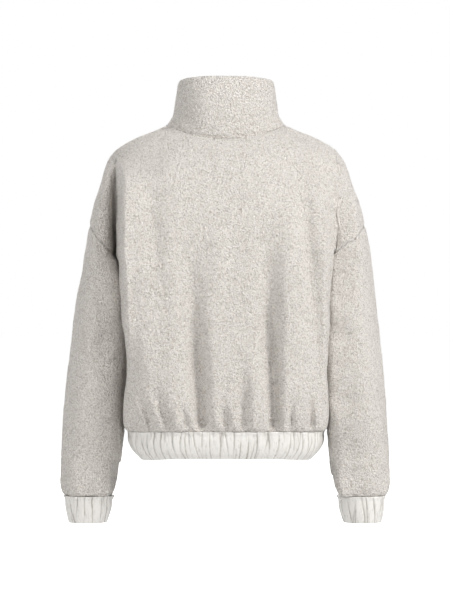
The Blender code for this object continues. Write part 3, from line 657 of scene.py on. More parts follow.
def top_edge(face, side, fine):
    """A panel's top boundary: the neck seam, and then the shoulder seam out to the arm's fold."""
    neck = collar_grid(face, side, fine)[0]
    run = np.linspace(abs(neck[-1, 0]), CREASE_TOP_X, SHOULDER_COLUMNS * fine + 1)[1:]
    shoulder = np.stack([side * run, np.full(len(run), SHOULDER_Y), ridge_z(run)], axis=-1)
    return np.concatenate([neck, shoulder])


def upper_torso(face, side, fine=1):
    """Rows from the neck and shoulder seams down to the armpit, from the centre line to the arm's fold."""
    seam = top_edge(face, side, fine)
    down = np.linspace(0.0, 1.0, UPPER_ROWS * fine + 1)[:, None] ** SHOULDER_CROWDING
    z = between(seam[:, 2], ARMPIT_Z, down)
    top, low = abs(seam[:, 0]) / CREASE_TOP_X, torso_shares(face, fine)
    share = between(top, low, smooth(down, 0.0, SPACING_CHANGES))
    x = crease_x(z) * share
    formed = crease_share(side, z)
    crease = face.crease(side, z)
    creased = creased_body(face, side, share, z)
    plain = yoke_y(face, side, x, z)
    opening = fold_share(face, side, z) * formed * fold_opening(creased, crease) * smooth(share, *FOLD_SHARES)
    x = x - opening - tucked(face, side, share, z)
    points = placed(face, side, x, between(plain, creased, formed), z)
    # The first rows are drawn onto the seams.
    return points + (seam - points[0]) * smooth(down, SEAM_DRAW, 0.0)[..., None]


def torso_section(share, corner, centre, pinch, power=TORSO_POWER):
    """A level section of the body below the armpit, by its share of the half width."""
    y = between(SIDE_Y, centre, arc(share, power))
    near_side = np.exp(-((abs(y - SIDE_Y) / PINCH_REACH) ** 3)) * smooth(share, *PINCH_SHARES)
    opening = fold_opening(y, SIDE_Y) * smooth(share, *FOLD_SHARES)
    return corner * share - pinch * near_side - opening, y


def hem_drop(share, most):
    """How much lower the hem lies towards the sides, by the share of the half width."""
    return most * smooth(share, DROP_FROM_SHARE, 1.0)


def lower_torso(face, side, fine=1):
    """Rows from the armpit to the hem seam, from the centre line to the side seam."""
    down = np.linspace(0.0, 1.0, LOWER_ROWS * fine + 1)[:, None]
    z = between(ARMPIT_Z, HEM_SEAM_Z, 1.0 - (1.0 - down) ** HEM_CROWDING)
    share = torso_shares(face, fine)
    corner = read(BODY_SIDE, "corner", z)
    x, y = torso_section(share, corner, face.centre(z), read(BODY, "pinch", z), torso_power(face, side, z))
    points = placed(face, side, x - tucked(face, side, share, z), y, z)
    points[..., 2] -= hem_drop(share, SEAM_SIDE_DROP) * smooth(z, SIDE_DROP_FROM, HEM_SEAM_Z)
    return points


def arm_angles(fine):
    """Angles round the back of the arm, or its front, from the outer side (0) to the body (a half turn)."""
    return np.linspace(0.0, math.pi, ARM_COLUMNS * fine + 1)


def armhole_z(angle):
    """The height of the armhole seam: high on the outer side of the arm, low at the armpit."""
    return between(ARMPIT_Z, DROP_Z, (1.0 + np.cos(angle)) / 2.0)


def arm_shape(angle, fullness=SLEEVE_POWER):
    """The arm's section as shares: across, from its inner side (0) to its outer side (1), and out (0 to 1).
    fullness is the power of its inner half, which lies against the body."""
    cosine, sine = np.cos(angle), np.abs(np.sin(angle))
    power = between(SLEEVE_POWER, fullness, smooth(cosine, 0.0, INNER_HALF))
    across = 0.5 + 0.5 * np.sign(cosine) * np.abs(cosine) ** (2 / power)
    return across, sine ** (2 / power)


def arm_fullness(face, side):
    """Behind, the sleeves lie close against the body."""
    return FULLNESS[side] if face is BACK else SLEEVE_POWER


def arm_reach(face, side, z):
    """How far back or forward the arm lies. Behind, it is pressed against the body and stands out more."""
    reach = read(ARM, face.name, z)
    if face is BACK:
        reach = reach + BULGE[side] * smooth(z, *BULGE_BEGINS) * smooth(z, *BULGE_ENDS)
    return reach


def filled(face, side, across, out, z):
    """How much further in the back of the right arm reaches, where it is squeezed against the body."""
    if face is FRONT or side > 0:
        return 0.0
    return read(RIGHT_FILL, "inward", z) * smooth(out, *FILL_OUT) * smooth(across, *FILL_ACROSS)


def fold_share(face, side, z):
    """How open the arm's fold is above the armpit. Behind the right arm it is nearly closed."""
    if face is FRONT or side > 0:
        return 1.0
    return 1.0 - RIGHT_CLOSED * smooth(z, ARMPIT_Z, ARMPIT_Z + RIGHT_CLOSING)


def lobe(face, side, fine=1):
    """The dropped shoulder, which fans out from the top of the arm's fold down to the armhole seam."""
    angle = arm_angles(fine)[::-1][None, :]
    down = np.linspace(0.0, 1.0, UPPER_ROWS * fine + 1)[:, None] ** SHOULDER_CROWDING
    z = between(CREASE_TOP_Z, armhole_z(angle), down)
    across, out = arm_shape(angle, arm_fullness(face, side))
    inner, outer = crease_x(z), arm_edge("outer", side, z)
    x = between(inner, outer, across)
    base = np.where(across > 0.5, SHOULDER_Y, face.crease(side, z))
    creased = between(base, arm_reach(face, side, z), out)
    plain = yoke_y(face, side, x, z)
    formed = crease_share(side, z)
    opening = fold_share(face, side, z) * formed * fold_opening(creased, base) * smooth(across, 0.5, 0.0)
    x = x - filled(face, side, across, out, z)
    points = placed(face, side, x + opening, between(plain, creased, formed), z)
    armhole = sleeve_half(face, side, fine)[0][::-1]
    points += (armhole - points[-1]) * smooth(down, ARMHOLE_DRAW, 1.0)[..., None]
    crease = upper_torso(face, side, fine)[:, -1]
    points[0] = crease[0]
    points[:, 0] = crease
    return points


def sleeve_sunk(turn, z, side):
    """How far a sleeve's cloth sinks in its folds. The two arms have the same folds at other heights."""
    sunk = np.zeros(np.shape(turn))
    for row in zip(*SLEEVE_FOLDS.values()):
        angle_top, z_top, angle_low, z_low, width, depth = row
        ends_at_cuff = z_low < CUFF_SEAM_Z
        higher = 0.0 if ends_at_cuff or side > 0 else RIGHT_FOLDS_HIGHER
        down = (z - z_top - higher) / (z_low - z_top)
        middle = between(angle_top, angle_low, np.clip(down, 0, 1)) + RIGHT_FOLDS_TURNED * (side < 0)
        away = (turn - middle + 180.0) % 360.0 - 180.0
        fade = smooth(down, *SLEEVE_FOLD_BEGINS)
        if not ends_at_cuff:
            fade = fade * smooth(down, *SLEEVE_FOLD_ENDS)
        sunk += depth * fade * np.exp(-((away / width) ** 2))
    return sunk * smooth(z, *SLEEVE_FOLDS_BEGIN)


def sleeve_half(face, side, fine=1):
    """The back or the front half of a sleeve, in rows from the armhole seam to the cuff seam."""
    angle = arm_angles(fine)[None, :]
    down = np.linspace(0.0, 1.0, SLEEVE_ROWS * fine + 1)[:, None]
    # The rows lie closer near the cuff, where the fleece rounds in to its seam.
    down = 1.0 - (1.0 - down) ** CUFF_CROWDING
    top = armhole_z(angle)
    z = between(top, CUFF_SEAM_Z, down)
    across, out = arm_shape(angle, arm_fullness(face, side))
    inner, outer = arm_edge("inner", side, z), arm_edge("outer", side, z)
    side_y = read(ARM, "side", z)
    inner_y = np.where(z > ARMPIT_Z, face.crease(side, z), side_y)
    base = np.where(across > 0.5, side_y, inner_y)
    x = between(inner, outer, across) - filled(face, side, across, out, z)
    y = between(base, arm_reach(face, side, z), out)
    turn = np.degrees(angle) if face is BACK else 360.0 - np.degrees(angle)
    sunk = sleeve_sunk(turn + 0.0 * z, z, side)
    away_x = x - 0.5 * (inner + outer)
    away_y = y - 0.5 * (read(ARM, "back", z) + read(ARM, "front", z))
    reach = np.hypot(away_x, away_y)
    return np.stack([side * (x - away_x / reach * sunk), y - away_y / reach * sunk, z], axis=-1)


def along(ring, shares):
    """Points at shares of the way along a level line, and the level direction out of it."""
    run = run_of(*ring.T)

    def point(at):
        return np.stack([np.interp(at, run, values) for values in ring.T], axis=-1)

    at = shares * run[-1]
    way = point(at + RING_SIGHT) - point(at - RING_SIGHT)
    return point(at), unit(np.stack([way[:, 1], -way[:, 0]], axis=-1))


def hem_ring(half_width, back, front):
    """A level line round the hem from one side of the zip to the other, by the wearer's left."""
    share = even_shares(RING_POINTS, TORSO_POWER, half_width, HEM_DEPTH)
    quarters = []
    for side in (1, -1):
        for face, centre in ((FRONT, front), (BACK, back)):
            x, y = torso_section(beside_zip(face, share, half_width), half_width, centre, HEM_PINCH)
            quarters.append(np.stack([side * x, y], axis=-1))
    left_front, left_back, right_front, right_back = quarters
    return np.concatenate([left_front, left_back[-2::-1], right_back[1:], right_front[-2::-1]])


def cuff_ring(side, outer, inner, back, front):
    """A level closed line round a wrist, from its outer side by its front for the left arm."""
    angle = np.linspace(0.0, math.pi, RING_POINTS)
    across, out = arm_shape(angle)
    x = side * between(inner, outer, across)
    fore, rear = (np.stack([x, between(ARM["side"][-1], y, out)], axis=-1) for y in (front, back))
    loop = np.concatenate([rear, fore[-2::-1]])
    return loop if side > 0 else loop[::-1]


def front_edge():
    """The outside of the jacket along the edge of the left front, from the hem up: depths and heights."""
    edges = [grid(FRONT, 1)[:, 0] for grid in (collar_grid, upper_torso, lower_torso)]
    band = np.zeros((len(HEM_BAND["share"]), 3))
    band[:, 1] = HEM_BAND["front"]
    band[:, 2] = HEM_SEAM_Z - 1.0 + (HEM_Z - HEM_SEAM_Z + 2.0) * HEM_BAND["share"]
    line = np.concatenate([edges[0][:0:-1], edges[1], edges[2][1:], band])[::-1]
    return line[:, 1], line[:, 2]


def front_line(z):
    """The depth of the jacket's outside beside the zip, at any height."""
    y, heights = front_edge()
    return np.interp(z, heights, y)


def zip_depth(z):
    """How far behind the outside the zip's tape lies: behind the wall of the collar or of the fleece."""
    at_collar = smooth(z - COLLAR["front_z"][0], *BEHIND_COLLAR_FROM)
    return between(FLEECE_WALL + TAPE_BEHIND_WALL, COLLAR_WALL + TAPE_BEHIND_COLLAR, at_collar)


def zip_heights():
    """The zip's rows lie at the heights of the front's own rows, so that both bend alike."""
    heights = front_edge()[1]
    top = COLLAR["front_z"][-1] - ZIP_TOP_BELOW_COLLAR
    return np.append(heights[heights < top - 2.0], top)


def tape_front(z):
    """The depth of the tape's front face."""
    return front_line(z) + zip_depth(z)


# ---------- Relief: drape, pile and seams ----------

# Cells of the scene's cloth to one cell of the solids, and how many of them a cell of its plain inside spans
FINE = 8
INSIDE_SPAN = 2

# How far out an edge that shows is rounded, and in how many steps
COLLAR_ROLL = 3.4
FRONT_ROLL = 2.0
ROLL_STEPS = 5

# How deep the pile is drawn in at each kind of seam, how wide, and how the seams are told apart
SEAM_DEPTHS = {"collar": 0.9, "armhole": 2.0, "band": 0.4}
SEAM_REACH = 4.0
COLLAR_SEAM_ABOVE = -90.0
COLLAR_SEAM_WITHIN = 125.0
NEAR_HEM_SEAM = 12.0
NEAR_CUFF_SEAM = 10.0

# The line of stitches beside a front's edge
TOPSTITCH_FROM_EDGE = 8.0
TOPSTITCH_DEPTH = 1.3
TOPSTITCH_WIDTH = 1.9
NO_EDGE = 99.0

# How far from its seams the collar has come to its full wall
DOUBLED_WITHIN = 12.0

# How far to each side the body's own cloth reaches low down, where the sleeves hang beside it
BODY_WITHIN = 182.0
DRAPE_WITHIN = 180.0
HEM_SEAM_WITHIN = 178.0

# The slight unevenness of the cloth: how high and how wide its swells are, how they are drawn out, and a
# seed; and where it fades at the bands and the zip
DRAPE_SWELLS = ((1.5, 52.0, (1.0, 1.0, 0.55), 5), (0.7, 24.0, (1.0, 1.0, 1.0), 6))
DRAPE_FADE = 25.0
DRAPE_FROM_ZIP = (10.0, 40.0)

# The pile and its fullness at the bands. It lies lower than the cloth's smooth outside between its tufts.
PILE_LOW = -1.1
CURL_SIZE = 3.2
CURL_REACH = 0.75
CURL_HEIGHT = 1.1
CLUMP_SIZE = 17.0
CLUMP_HEIGHT = 0.25
CRUMB_SIZE = 3.1
CRUMB_HEIGHT = 0.1
SEAM_FULLNESS = 1.8
FULLNESS_FADE = 9.0
GATHER_SIZE = 9.0
GATHER_HEIGHT = 1.7
GATHER_LENGTHENED = (1.0, 1.0, 0.16)
GATHERS_OVER_HEM = (55.0, 5.0)
GATHERS_OVER_CUFF = (30.0, 4.0)

# A rectangle of stitches below the middle of the neck, where something is sewn on the inside
NECK_STITCHES = ((-24.0, 25.0), (-80.0, -36.0))
NECK_STITCH_DEPTH = 1.1
NECK_STITCH_WIDTH = 1.8


def hashed(cell, seed):
    """A number from 0 to 1 for each cell of a grid of whole numbers, the same in every run."""
    x, y, z = (cell[..., k].astype(np.int64).astype(np.uint32) for k in range(3))
    mixed = x * np.uint32(73856093) ^ y * np.uint32(19349663) ^ z * np.uint32(83492791)
    mixed ^= np.uint32(seed * 2654435761 % 2**32)
    for _ in range(2):
        mixed ^= mixed >> np.uint32(13)
        mixed *= np.uint32(1540483477)
        mixed ^= mixed >> np.uint32(15)
    return mixed / 2.0**32


def lumps(points, size, seed):
    """Soft random swells from -1 to 1, about as wide as size."""
    at = points / size
    cell = np.floor(at)
    t = at - cell
    t = t * t * t * (t * (t * 6.0 - 15.0) + 10.0)
    total = 0.0
    for corner in np.ndindex(2, 2, 2):
        weight = np.prod([t[..., k] if corner[k] else 1.0 - t[..., k] for k in range(3)], axis=0)
        total = total + weight * hashed(cell + corner, seed)
    return total * 2.0 - 1.0


def curls(points, size, seed):
    """Small round tufts from 0 to 1, one to each cell of a jumbled grid."""
    at = points / size
    cell = np.floor(at)
    nearest = np.full(len(at), np.inf)
    for step in np.ndindex(3, 3, 3):
        near = cell + step - 1.0
        middle = near + np.stack([hashed(near, seed + k) for k in (1, 2, 3)], axis=-1)
        nearest = np.minimum(nearest, ((at - middle) ** 2).sum(axis=-1))
    return np.clip(1.0 - nearest / CURL_REACH, 0.0, 1.0)


def drape(points):
    """The slight unevenness of cloth that hangs; it dies away at the zip, the hem and the cuffs."""
    x, y, z = points.T
    from_zip = np.clip(smooth(abs(x), *DRAPE_FROM_ZIP) + (y > 0), 0.0, 1.0)
    on_body = from_zip * smooth(z, HEM_SEAM_Z, HEM_SEAM_Z + DRAPE_FADE)
    on_arm = smooth(z, CUFF_SEAM_Z, CUFF_SEAM_Z + DRAPE_FADE)
    swells = sum(height * lumps(points * drawn, size, seed) for height, size, drawn, seed in DRAPE_SWELLS)
    return np.where(abs(x) > DRAPE_WITHIN, on_arm, on_body) * swells


def stitched_rectangle(points):
    """How near each point lies to the rectangle of stitches, from 0 to 1."""
    (left, right), (low, high) = NECK_STITCHES
    across = abs(points[:, 0] - (left + right) / 2) - (right - left) / 2
    up = abs(points[:, 2] - (low + high) / 2) - (high - low) / 2
    outside = np.hypot(np.maximum(across, 0.0), np.maximum(up, 0.0))
    distance = abs(outside + np.minimum(np.maximum(across, up), 0.0))
    return np.exp(-((distance / NECK_STITCH_WIDTH) ** 2)) * (points[:, 1] > 0)


def tree_of(points, numbers):
    """Some of the points, laid out so that the nearest to a place is found quickly."""
    tree = kdtree.KDTree(len(numbers))
    for number in numbers:
        tree.insert(points[number], number)
    tree.balance()
    return tree


def distance_to(points, targets):
    """How far each point lies from the nearest target."""
    tree = tree_of(targets, range(len(targets)))
    return np.array([tree.find(point)[2] for point in points.tolist()])


# ---------- Cloth with an outside, a plain inside and closed edges ----------


def unit(vectors):
    """Vectors of length one."""
    return vectors / np.maximum(np.linalg.norm(vectors, axis=-1, keepdims=True), 1e-9)


def grid_faces(grid, out):
    """The four-cornered faces of a grid of point numbers, seen from outside."""
    faces = np.stack([grid[:-1, :-1], grid[1:, :-1], grid[1:, 1:], grid[:-1, 1:]], axis=-1).reshape(-1, 4)
    return faces if out else faces[:, ::-1]


def faces_of(grids):
    """All the faces of some grids, each of which is (point numbers, facing out)."""
    return np.concatenate([grid_faces(grid, out) for grid, out in grids])


def outward(points, faces):
    """The direction out of the cloth at each point."""
    a, b, c, d = (points[faces[:, k]] for k in range(4))
    across = np.cross(c - a, d - b)
    normals = np.zeros_like(points)
    for k in range(4):
        np.add.at(normals, faces[:, k], across)
    return unit(normals)


def edge_runs(faces):
    """The edges round the open sides of some faces, as pairs in the faces' own turning."""
    pairs = np.concatenate([faces[:, [k, (k + 1) % 4]] for k in range(4)])
    pairs = pairs[pairs[:, 0] != pairs[:, 1]]
    _, first, uses = np.unique(np.sort(pairs, axis=1), axis=0, return_index=True, return_counts=True)
    return pairs[first[uses == 1]]


def new_object(name, data):
    """An object in the scene, from its mesh, light or camera."""
    made = bpy.data.objects.new(name, data)
    bpy.context.scene.collection.objects.link(made)
    return made


def inside_ring(grid, top, low, left, right, open_edges):
    """One large cell of the inside: its corners, and each fine point between them along an open side."""
    sides = (
        [(i, left) for i in range(top, low + 1)],
        [(low, j) for j in range(left, right + 1)],
        [(i, right) for i in range(low, top - 1, -1)],
        [(top, j) for j in range(right, left - 1, -1)],
    )
    ring = []
    for side in sides:
        numbers = [int(grid[place]) for place in side]
        on_edge = any(frozenset(pair) in open_edges for pair in zip(numbers, numbers[1:]))
        ring += numbers[:-1] if on_edge else numbers[:1]
    return [number for k, number in enumerate(ring) if number != ring[k - 1]]


# How pale the tips of a cloth without pile or gathers are, and those of a rounded rim. The pile and the
# satin paint shade where the tip is low.
PLAIN_TIP = 0.5
RIM_TIP = 0.6


def cloth(name, points, normals, lift, wall, grids, finishes, rolled=(), roll=0.0, tip=None):
    """A closed piece of cloth. points lie on its smooth outside, and lift raises the pile or the gathers from
    it. Each grid is (point numbers, facing out). Edges whose points are all in rolled are rounded over. The
    last of finishes is that of its inside."""
    faces = faces_of(grids)
    used = np.unique(faces)
    own = np.full(len(points), -1)
    own[used] = np.arange(len(used))
    faces = own[faces]
    points, normals, lift, wall = points[used], normals[used], lift[used], wall[used]
    rolled = {int(own[number]) for number in rolled if own[number] >= 0}
    edges = edge_runs(faces)
    open_edges = {frozenset(pair) for pair in edges.tolist()}
    on_edge = np.unique(edges)

    verts = [points + normals * lift[:, None]]
    values = [np.full(len(points), PLAIN_TIP) if tip is None else tip[used]]
    count = len(points)
    polygons = faces.tolist()
    slots = [0] * len(polygons)

    inside = []
    for grid, out in grids:
        grid = own[grid]
        rows, columns = grid.shape[0] - 1, grid.shape[1] - 1
        for top in range(0, rows, INSIDE_SPAN):
            for left in range(0, columns, INSIDE_SPAN):
                low, right = min(top + INSIDE_SPAN, rows), min(left + INSIDE_SPAN, columns)
                ring = inside_ring(grid, top, low, left, right, open_edges)
                if len(ring) > 2:
                    inside.append(ring[::-1] if out else ring)
    inner_numbers = sorted({n for ring in inside for n in ring} | set(on_edge.tolist()))
    inner = {number: count + place for place, number in enumerate(inner_numbers)}
    verts.append(points[inner_numbers] - normals[inner_numbers] * wall[inner_numbers, None])
    # The inside's points get a tip of 0: the satin's inside and the rims are painted darker towards it, as
    # painted shade.
    values.append(np.zeros(len(inner)))
    count += len(inner)
    polygons += [[inner[n] for n in ring] for ring in inside]
    slots += [len(finishes) - 1] * len(inside)

    # The rim: flat at a seam, rounded over at an edge that shows.
    run = points[edges[:, 1]] - points[edges[:, 0]]
    off = np.zeros_like(points)
    for end in (0, 1):
        np.add.at(off, edges[:, end], unit(np.cross(unit(run), normals[edges[:, end]])))
    off = unit(off)
    chain = {int(n): [int(n), inner[int(n)]] for n in on_edge}
    for n in sorted(rolled & set(on_edge.tolist())):
        middle = points[n] + normals[n] * (lift[n] - wall[n]) / 2
        half = (lift[n] + wall[n]) / 2
        turns = np.linspace(0.0, math.pi, ROLL_STEPS + 1)[1:-1, None]
        verts.append(middle + normals[n] * half * np.cos(turns) + off[n] * roll * np.sin(turns))
        values.append(np.full(ROLL_STEPS - 1, RIM_TIP))
        chain[n] = [n, *range(count, count + ROLL_STEPS - 1), inner[n]]
        count += ROLL_STEPS - 1
    for a, b in edges.tolist():
        if len(chain[a]) == len(chain[b]) > 2:
            polygons += [list(ring) for ring in zip(chain[b], chain[a], chain[a][1:], chain[b][1:])]
        else:
            polygons.append(chain[a] + chain[b][::-1])
    slots += [0] * (len(polygons) - len(slots))

    polygons = [[n for k, n in enumerate(ring) if n != ring[k - 1]] for ring in polygons]
    data = bpy.data.meshes.new(name)
    data.from_pydata((np.concatenate(verts) * MM).tolist(), [], polygons)
    data.polygons.foreach_set("material_index", slots)
    data.shade_smooth()
    for finish in finishes:
        data.materials.append(finish)
    heights = data.attributes.new("tip", "FLOAT", "POINT")
    heights.data.foreach_set("value", np.concatenate(values).astype(np.float32))
    return new_object(name, data)


# ---------- The seamless fleece, cut into its panels ----------


def fleece_grids():
    """Every grid of the garment: panel, points, facing out, and which points lie on an edge that shows."""
    for side, hand in HANDS.items():
        for face in (BACK, FRONT):
            torso = "back" if face is BACK else "front_" + hand
            out = side * face.sign < 0
            for panel, form, faces_out in (
                (torso, upper_torso, out),
                (torso, lower_torso, out),
                (torso, lobe, out),
                ("collar", collar_grid, not out),
                ("sleeve_" + hand, sleeve_half, not out),
            ):
                points = form(face, side, FINE)
                shows = np.zeros(points.shape[:2], bool)
                if face is FRONT and form in (upper_torso, lower_torso, collar_grid):
                    shows[:, 0] = True
                if form is collar_grid:
                    shows[-1] = True
                yield panel, points, faces_out, shows


def joined_points(all_points, borders):
    """For each point the number of the first point in the same place; only the borders of grids can meet."""
    tree = tree_of(all_points, borders)
    first = np.arange(len(all_points))
    for number in borders:
        first[number] = min(found[1] for found in tree.find_range(all_points[number], WELD))
    return first


def fleece_sheet():
    """The points of the whole garment, its panels as grids of point numbers, and the edges that show."""
    panels, blocks, borders, shown, count = {}, [], [], [], 0
    for panel, points, out, shows in fleece_grids():
        grid = count + np.arange(points.shape[0] * points.shape[1]).reshape(points.shape[:2])
        panels.setdefault(panel, []).append((grid, out))
        blocks.append(points.reshape(-1, 3))
        borders += [*grid[0].tolist(), *grid[-1].tolist(), *grid[:, 0].tolist(), *grid[:, -1].tolist()]
        shown += grid[shows].tolist()
        count += grid.size
    points = np.concatenate(blocks)
    first = joined_points(points, sorted(set(borders)))
    panels = {name: [(first[grid], out) for grid, out in grids] for name, grids in panels.items()}
    return points, panels, sorted(set(first[shown].tolist()))


def fleece_normals(points, faces):
    """The direction out of the fleece: level where it meets a band, and straight down at an armpit."""
    normals = outward(points, faces)
    edge = np.unique(edge_runs(faces))
    level = edge[points[edge, 2] < HEM_SEAM_Z + 0.5]
    normals[level, 2] = 0.0
    for side in (1, -1):
        armpit = np.array([side * CREASE_LOW_X, SIDE_Y, ARMPIT_Z])
        normals[np.linalg.norm(points - armpit, axis=1).argmin()] = (0.0, 0.0, -1.0)
    return unit(normals)


def pile_lift(points, seam_distance, seam_depth, edge_distance):
    """How far the tips of the pile stand out from the smooth cloth, and how high each lies in its tuft."""
    tuft = curls(points, CURL_SIZE, seed=1)
    height = PILE_LOW + CURL_HEIGHT * tuft + CLUMP_HEIGHT * lumps(points, CLUMP_SIZE, seed=9)
    height += CRUMB_HEIGHT * lumps(points, CRUMB_SIZE, seed=12)
    # The fleece is full just over each band, and short gathers run up from there.
    body = abs(points[:, 0]) < BODY_WITHIN
    over_hem, over_cuff = points[:, 2] - HEM_SEAM_Z, points[:, 2] - CUFF_SEAM_Z
    full = smooth(over_hem, FULLNESS_FADE, 0.0) * body + smooth(over_cuff, FULLNESS_FADE, 0.0)
    height += SEAM_FULLNESS * full
    near_band = smooth(over_hem, *GATHERS_OVER_HEM) * body + smooth(over_cuff, *GATHERS_OVER_CUFF)
    height += near_band * GATHER_HEIGHT * lumps(points * GATHER_LENGTHENED, GATHER_SIZE, seed=21)
    height -= seam_depth * np.exp(-((seam_distance / SEAM_REACH) ** 2))
    height -= TOPSTITCH_DEPTH * np.exp(-(((edge_distance - TOPSTITCH_FROM_EDGE) / TOPSTITCH_WIDTH) ** 2))
    height -= NECK_STITCH_DEPTH * stitched_rectangle(points)
    # The tuft becomes the tip, which the pile's colour follows as painted shade.
    return height, tuft


def depth_at_seam(place):
    """How deep the pile is drawn in at the seam nearest to each point."""
    x, z = abs(place[:, 0]), place[:, 2]
    at_collar = (z > COLLAR_SEAM_ABOVE) & (x <= COLLAR_SEAM_WITHIN)
    banded = (z < HEM_SEAM_Z + NEAR_HEM_SEAM) & (x < HEM_SEAM_WITHIN) | (z < CUFF_SEAM_Z + NEAR_CUFF_SEAM)
    depth = np.where(at_collar, SEAM_DEPTHS["collar"], SEAM_DEPTHS["armhole"])
    return np.where(banded, SEAM_DEPTHS["band"], depth)


def distance_to_zip(name, place, shown):
    """How far each point of a front lies from its edge beside the zip. No other panel has such an edge."""
    if not name.startswith("front"):
        return np.full(len(place), NO_EDGE)
    return distance_to(place, shown)


def fleece_panels(finishes):
    """Every fleece panel as a piece of cloth."""
    points, panels, shown = fleece_sheet()
    faces = faces_of([grid for grids in panels.values() for grid in grids])
    points = points + fleece_normals(points, faces) * drape(points)[:, None]
    normals = fleece_normals(points, faces)
    made = {}
    for name, grids in panels.items():
        own_faces = faces_of(grids)
        used = np.unique(own_faces)
        place = points[used]
        edge = np.unique(edge_runs(own_faces))
        to_seam = distance_to(place, points[np.setdiff1d(edge, shown)])
        wall = np.full(len(points), FLEECE_WALL)
        if name == "collar":
            wall[used] += (COLLAR_WALL - FLEECE_WALL) * smooth(to_seam, 0.0, DOUBLED_WITHIN)
        lift, tip = np.zeros(len(points)), np.zeros(len(points))
        to_front = distance_to_zip(name, place, points[np.intersect1d(edge, shown)])
        lift[used], tip[used] = pile_lift(place, to_seam, depth_at_seam(place), to_front)
        roll = COLLAR_ROLL if name == "collar" else FRONT_ROLL
        made[name] = cloth(name + "_fleece", points, normals, lift, wall, grids, finishes, shown, roll, tip)
    return made


# ---------- Gathered satin bands ----------

BAND_STEP = 1.15
BAND_ROWS = 36
CUFF_STEP_SHARE = 1.25
BAND_ROLL = 1.2
ROLL_ROWS = 3
PUFF_HEIGHT = 2.4

# The ridge along the seam: its height, how far down it reaches as a share of the band, and its unevenness
SEAM_RIDGE = 4.2
RIDGE_REACH = 0.12
RIDGE_SWELLS = (0.8, 0.45, 6.0)

# Wrinkles all over a band: how high and how wide, how they are drawn out downwards, and a seed
WRINKLES = ((0.3, 4.5, 0.35, 3), (0.45, 11.0, 0.5, 4))

# How far apart the gathers lie, and how uneven they are: their steps, how many of the steps are wide and by
# how much, and how far they lean, as a share of the spacing; then how tall and how askew each puff stands
HEM_SPACING = 11.5
CUFF_SPACING = 12.0
STEPS = (0.45, 1.55)
WIDE_STEPS = (0.25, 1.5)
LEAN = 0.16
TALL = (0.45, 1.1)
SKEW = (-0.35, 0.35)

# The narrowest gap between two gathers, how the width of a gap tells on the height of its puff, and a puff's
# height at its middle
NARROWEST = 0.6
GAP_TELLS = (0.25, 1.2)
FACET = 0.75

# A crease between two puffs: its least depth, how far from its deepest place it comes to that, a factor that
# strews those places, and how wide it is in form and in the painted shade of its colour
CREASE_LEAST = 0.25
CREASE_RUN = (0.7, 0.3)
STREW = 7.3
CREASE_WIDTH = 1.5
CREASE_POWER = 1.5
CREASE_SHADE_WIDTH = 0.8

# Short creases: how many to a gather, how far they lean and reach, how deep and wide, and how they sway
SHORT_TO_A_GATHER = 1.2
SHORT_LEAN = 0.35
SHORT_REACH = (0.35, 0.8)
SHORT_WHOLE = 0.3
SHORT_DEPTH = (0.25, 0.7)
SHORT_WIDTH = (0.7, 1.5)
SHORT_FROM_TOP = 0.6
SHORT_SWAY = (0.8, 7.0)


def gather_lines(length, spacing, seed):
    """Where a band's gathers lie along it, unevenly, and how far each leans, stands up and is askew."""
    random = np.random.default_rng(seed)
    count = round(length / spacing)
    steps = random.uniform(*STEPS, count)
    steps[random.random(count) < WIDE_STEPS[0]] *= WIDE_STEPS[1]
    places = np.cumsum(steps) / steps.sum() * length
    lean = random.normal(0.0, LEAN, count) * spacing
    return places, lean, random.uniform(*TALL, count), random.uniform(*SKEW, count)


def gathered(along_band, share, length, spacing, seed):
    """How high a gathered band's cloth puffs up between its gathers, and how near each point is to one."""
    places, lean, tall, skew = gather_lines(length, spacing, seed)
    height = np.zeros(np.broadcast(along_band, share).shape)
    crease = np.zeros_like(height)
    u = along_band[0]
    for row, v in enumerate(share[:, 0]):
        at = places + lean * (v - 0.5) * 2.0
        order = np.argsort(at)
        at = np.concatenate([[at[order[-1]] - length], at[order], [at[order[0]] + length]])
        tall_row, skew_row = (np.append(values[order], values[order[0]]) for values in (tall, skew))
        k = np.clip(np.searchsorted(at, u, side="right") - 1, 0, len(at) - 2)
        gap = np.maximum(at[k + 1] - at[k], NARROWEST)
        t = np.clip((u - at[k]) / gap, 0.0, 1.0)
        size = tall_row[k] * np.clip(gap / spacing, *GAP_TELLS)
        # Each puff is a flat, tilted facet between two narrow creases, each deep over a part of its run.
        facet = FACET + skew_row[k] * (2.0 * t - 1.0)
        deepest = tall_row[(k + (t >= 0.5)) % len(places)] * STREW % 1.0
        depth = between(CREASE_LEAST, 1.0, smooth(abs(v - deepest), *CREASE_RUN))
        to_crease = np.minimum(t, 1.0 - t) * gap
        height[row] = size * facet * (1.0 - depth * np.exp(-((to_crease / CREASE_WIDTH) ** CREASE_POWER)))
        # crease serves only the colour: the painted shade along each crease.
        crease[row] = depth * np.exp(-((to_crease / CREASE_SHADE_WIDTH) ** 2))
    return height, crease


def short_creases(along_band, share, length, spacing, seed, count):
    """Fine creases that start at one seam of a band and die out before the other."""
    random = np.random.default_rng(seed)
    sunk = np.zeros(np.broadcast(along_band, share).shape)
    for _ in range(count):
        place = random.uniform(0, length)
        lean = random.normal(0, SHORT_LEAN) * spacing
        reach, depth, width = (random.uniform(*limits) for limits in (SHORT_REACH, SHORT_DEPTH, SHORT_WIDTH))
        v = share if random.random() < SHORT_FROM_TOP else 1.0 - share
        away = along_band - (place + lean * v + SHORT_SWAY[0] * np.sin(v * SHORT_SWAY[1] + place))
        sunk += depth * np.exp(-((away / width) ** 2)) * smooth(v, reach, reach * SHORT_WHOLE)
    return sunk


def names_of(profile):
    """The columns of a band's profile that say its size."""
    return [name for name in profile if name != "share"]


def length_of(ring, profile):
    """How long a band is along its seam."""
    return run_of(*ring(*(profile[name][0] for name in names_of(profile))).T)[-1]


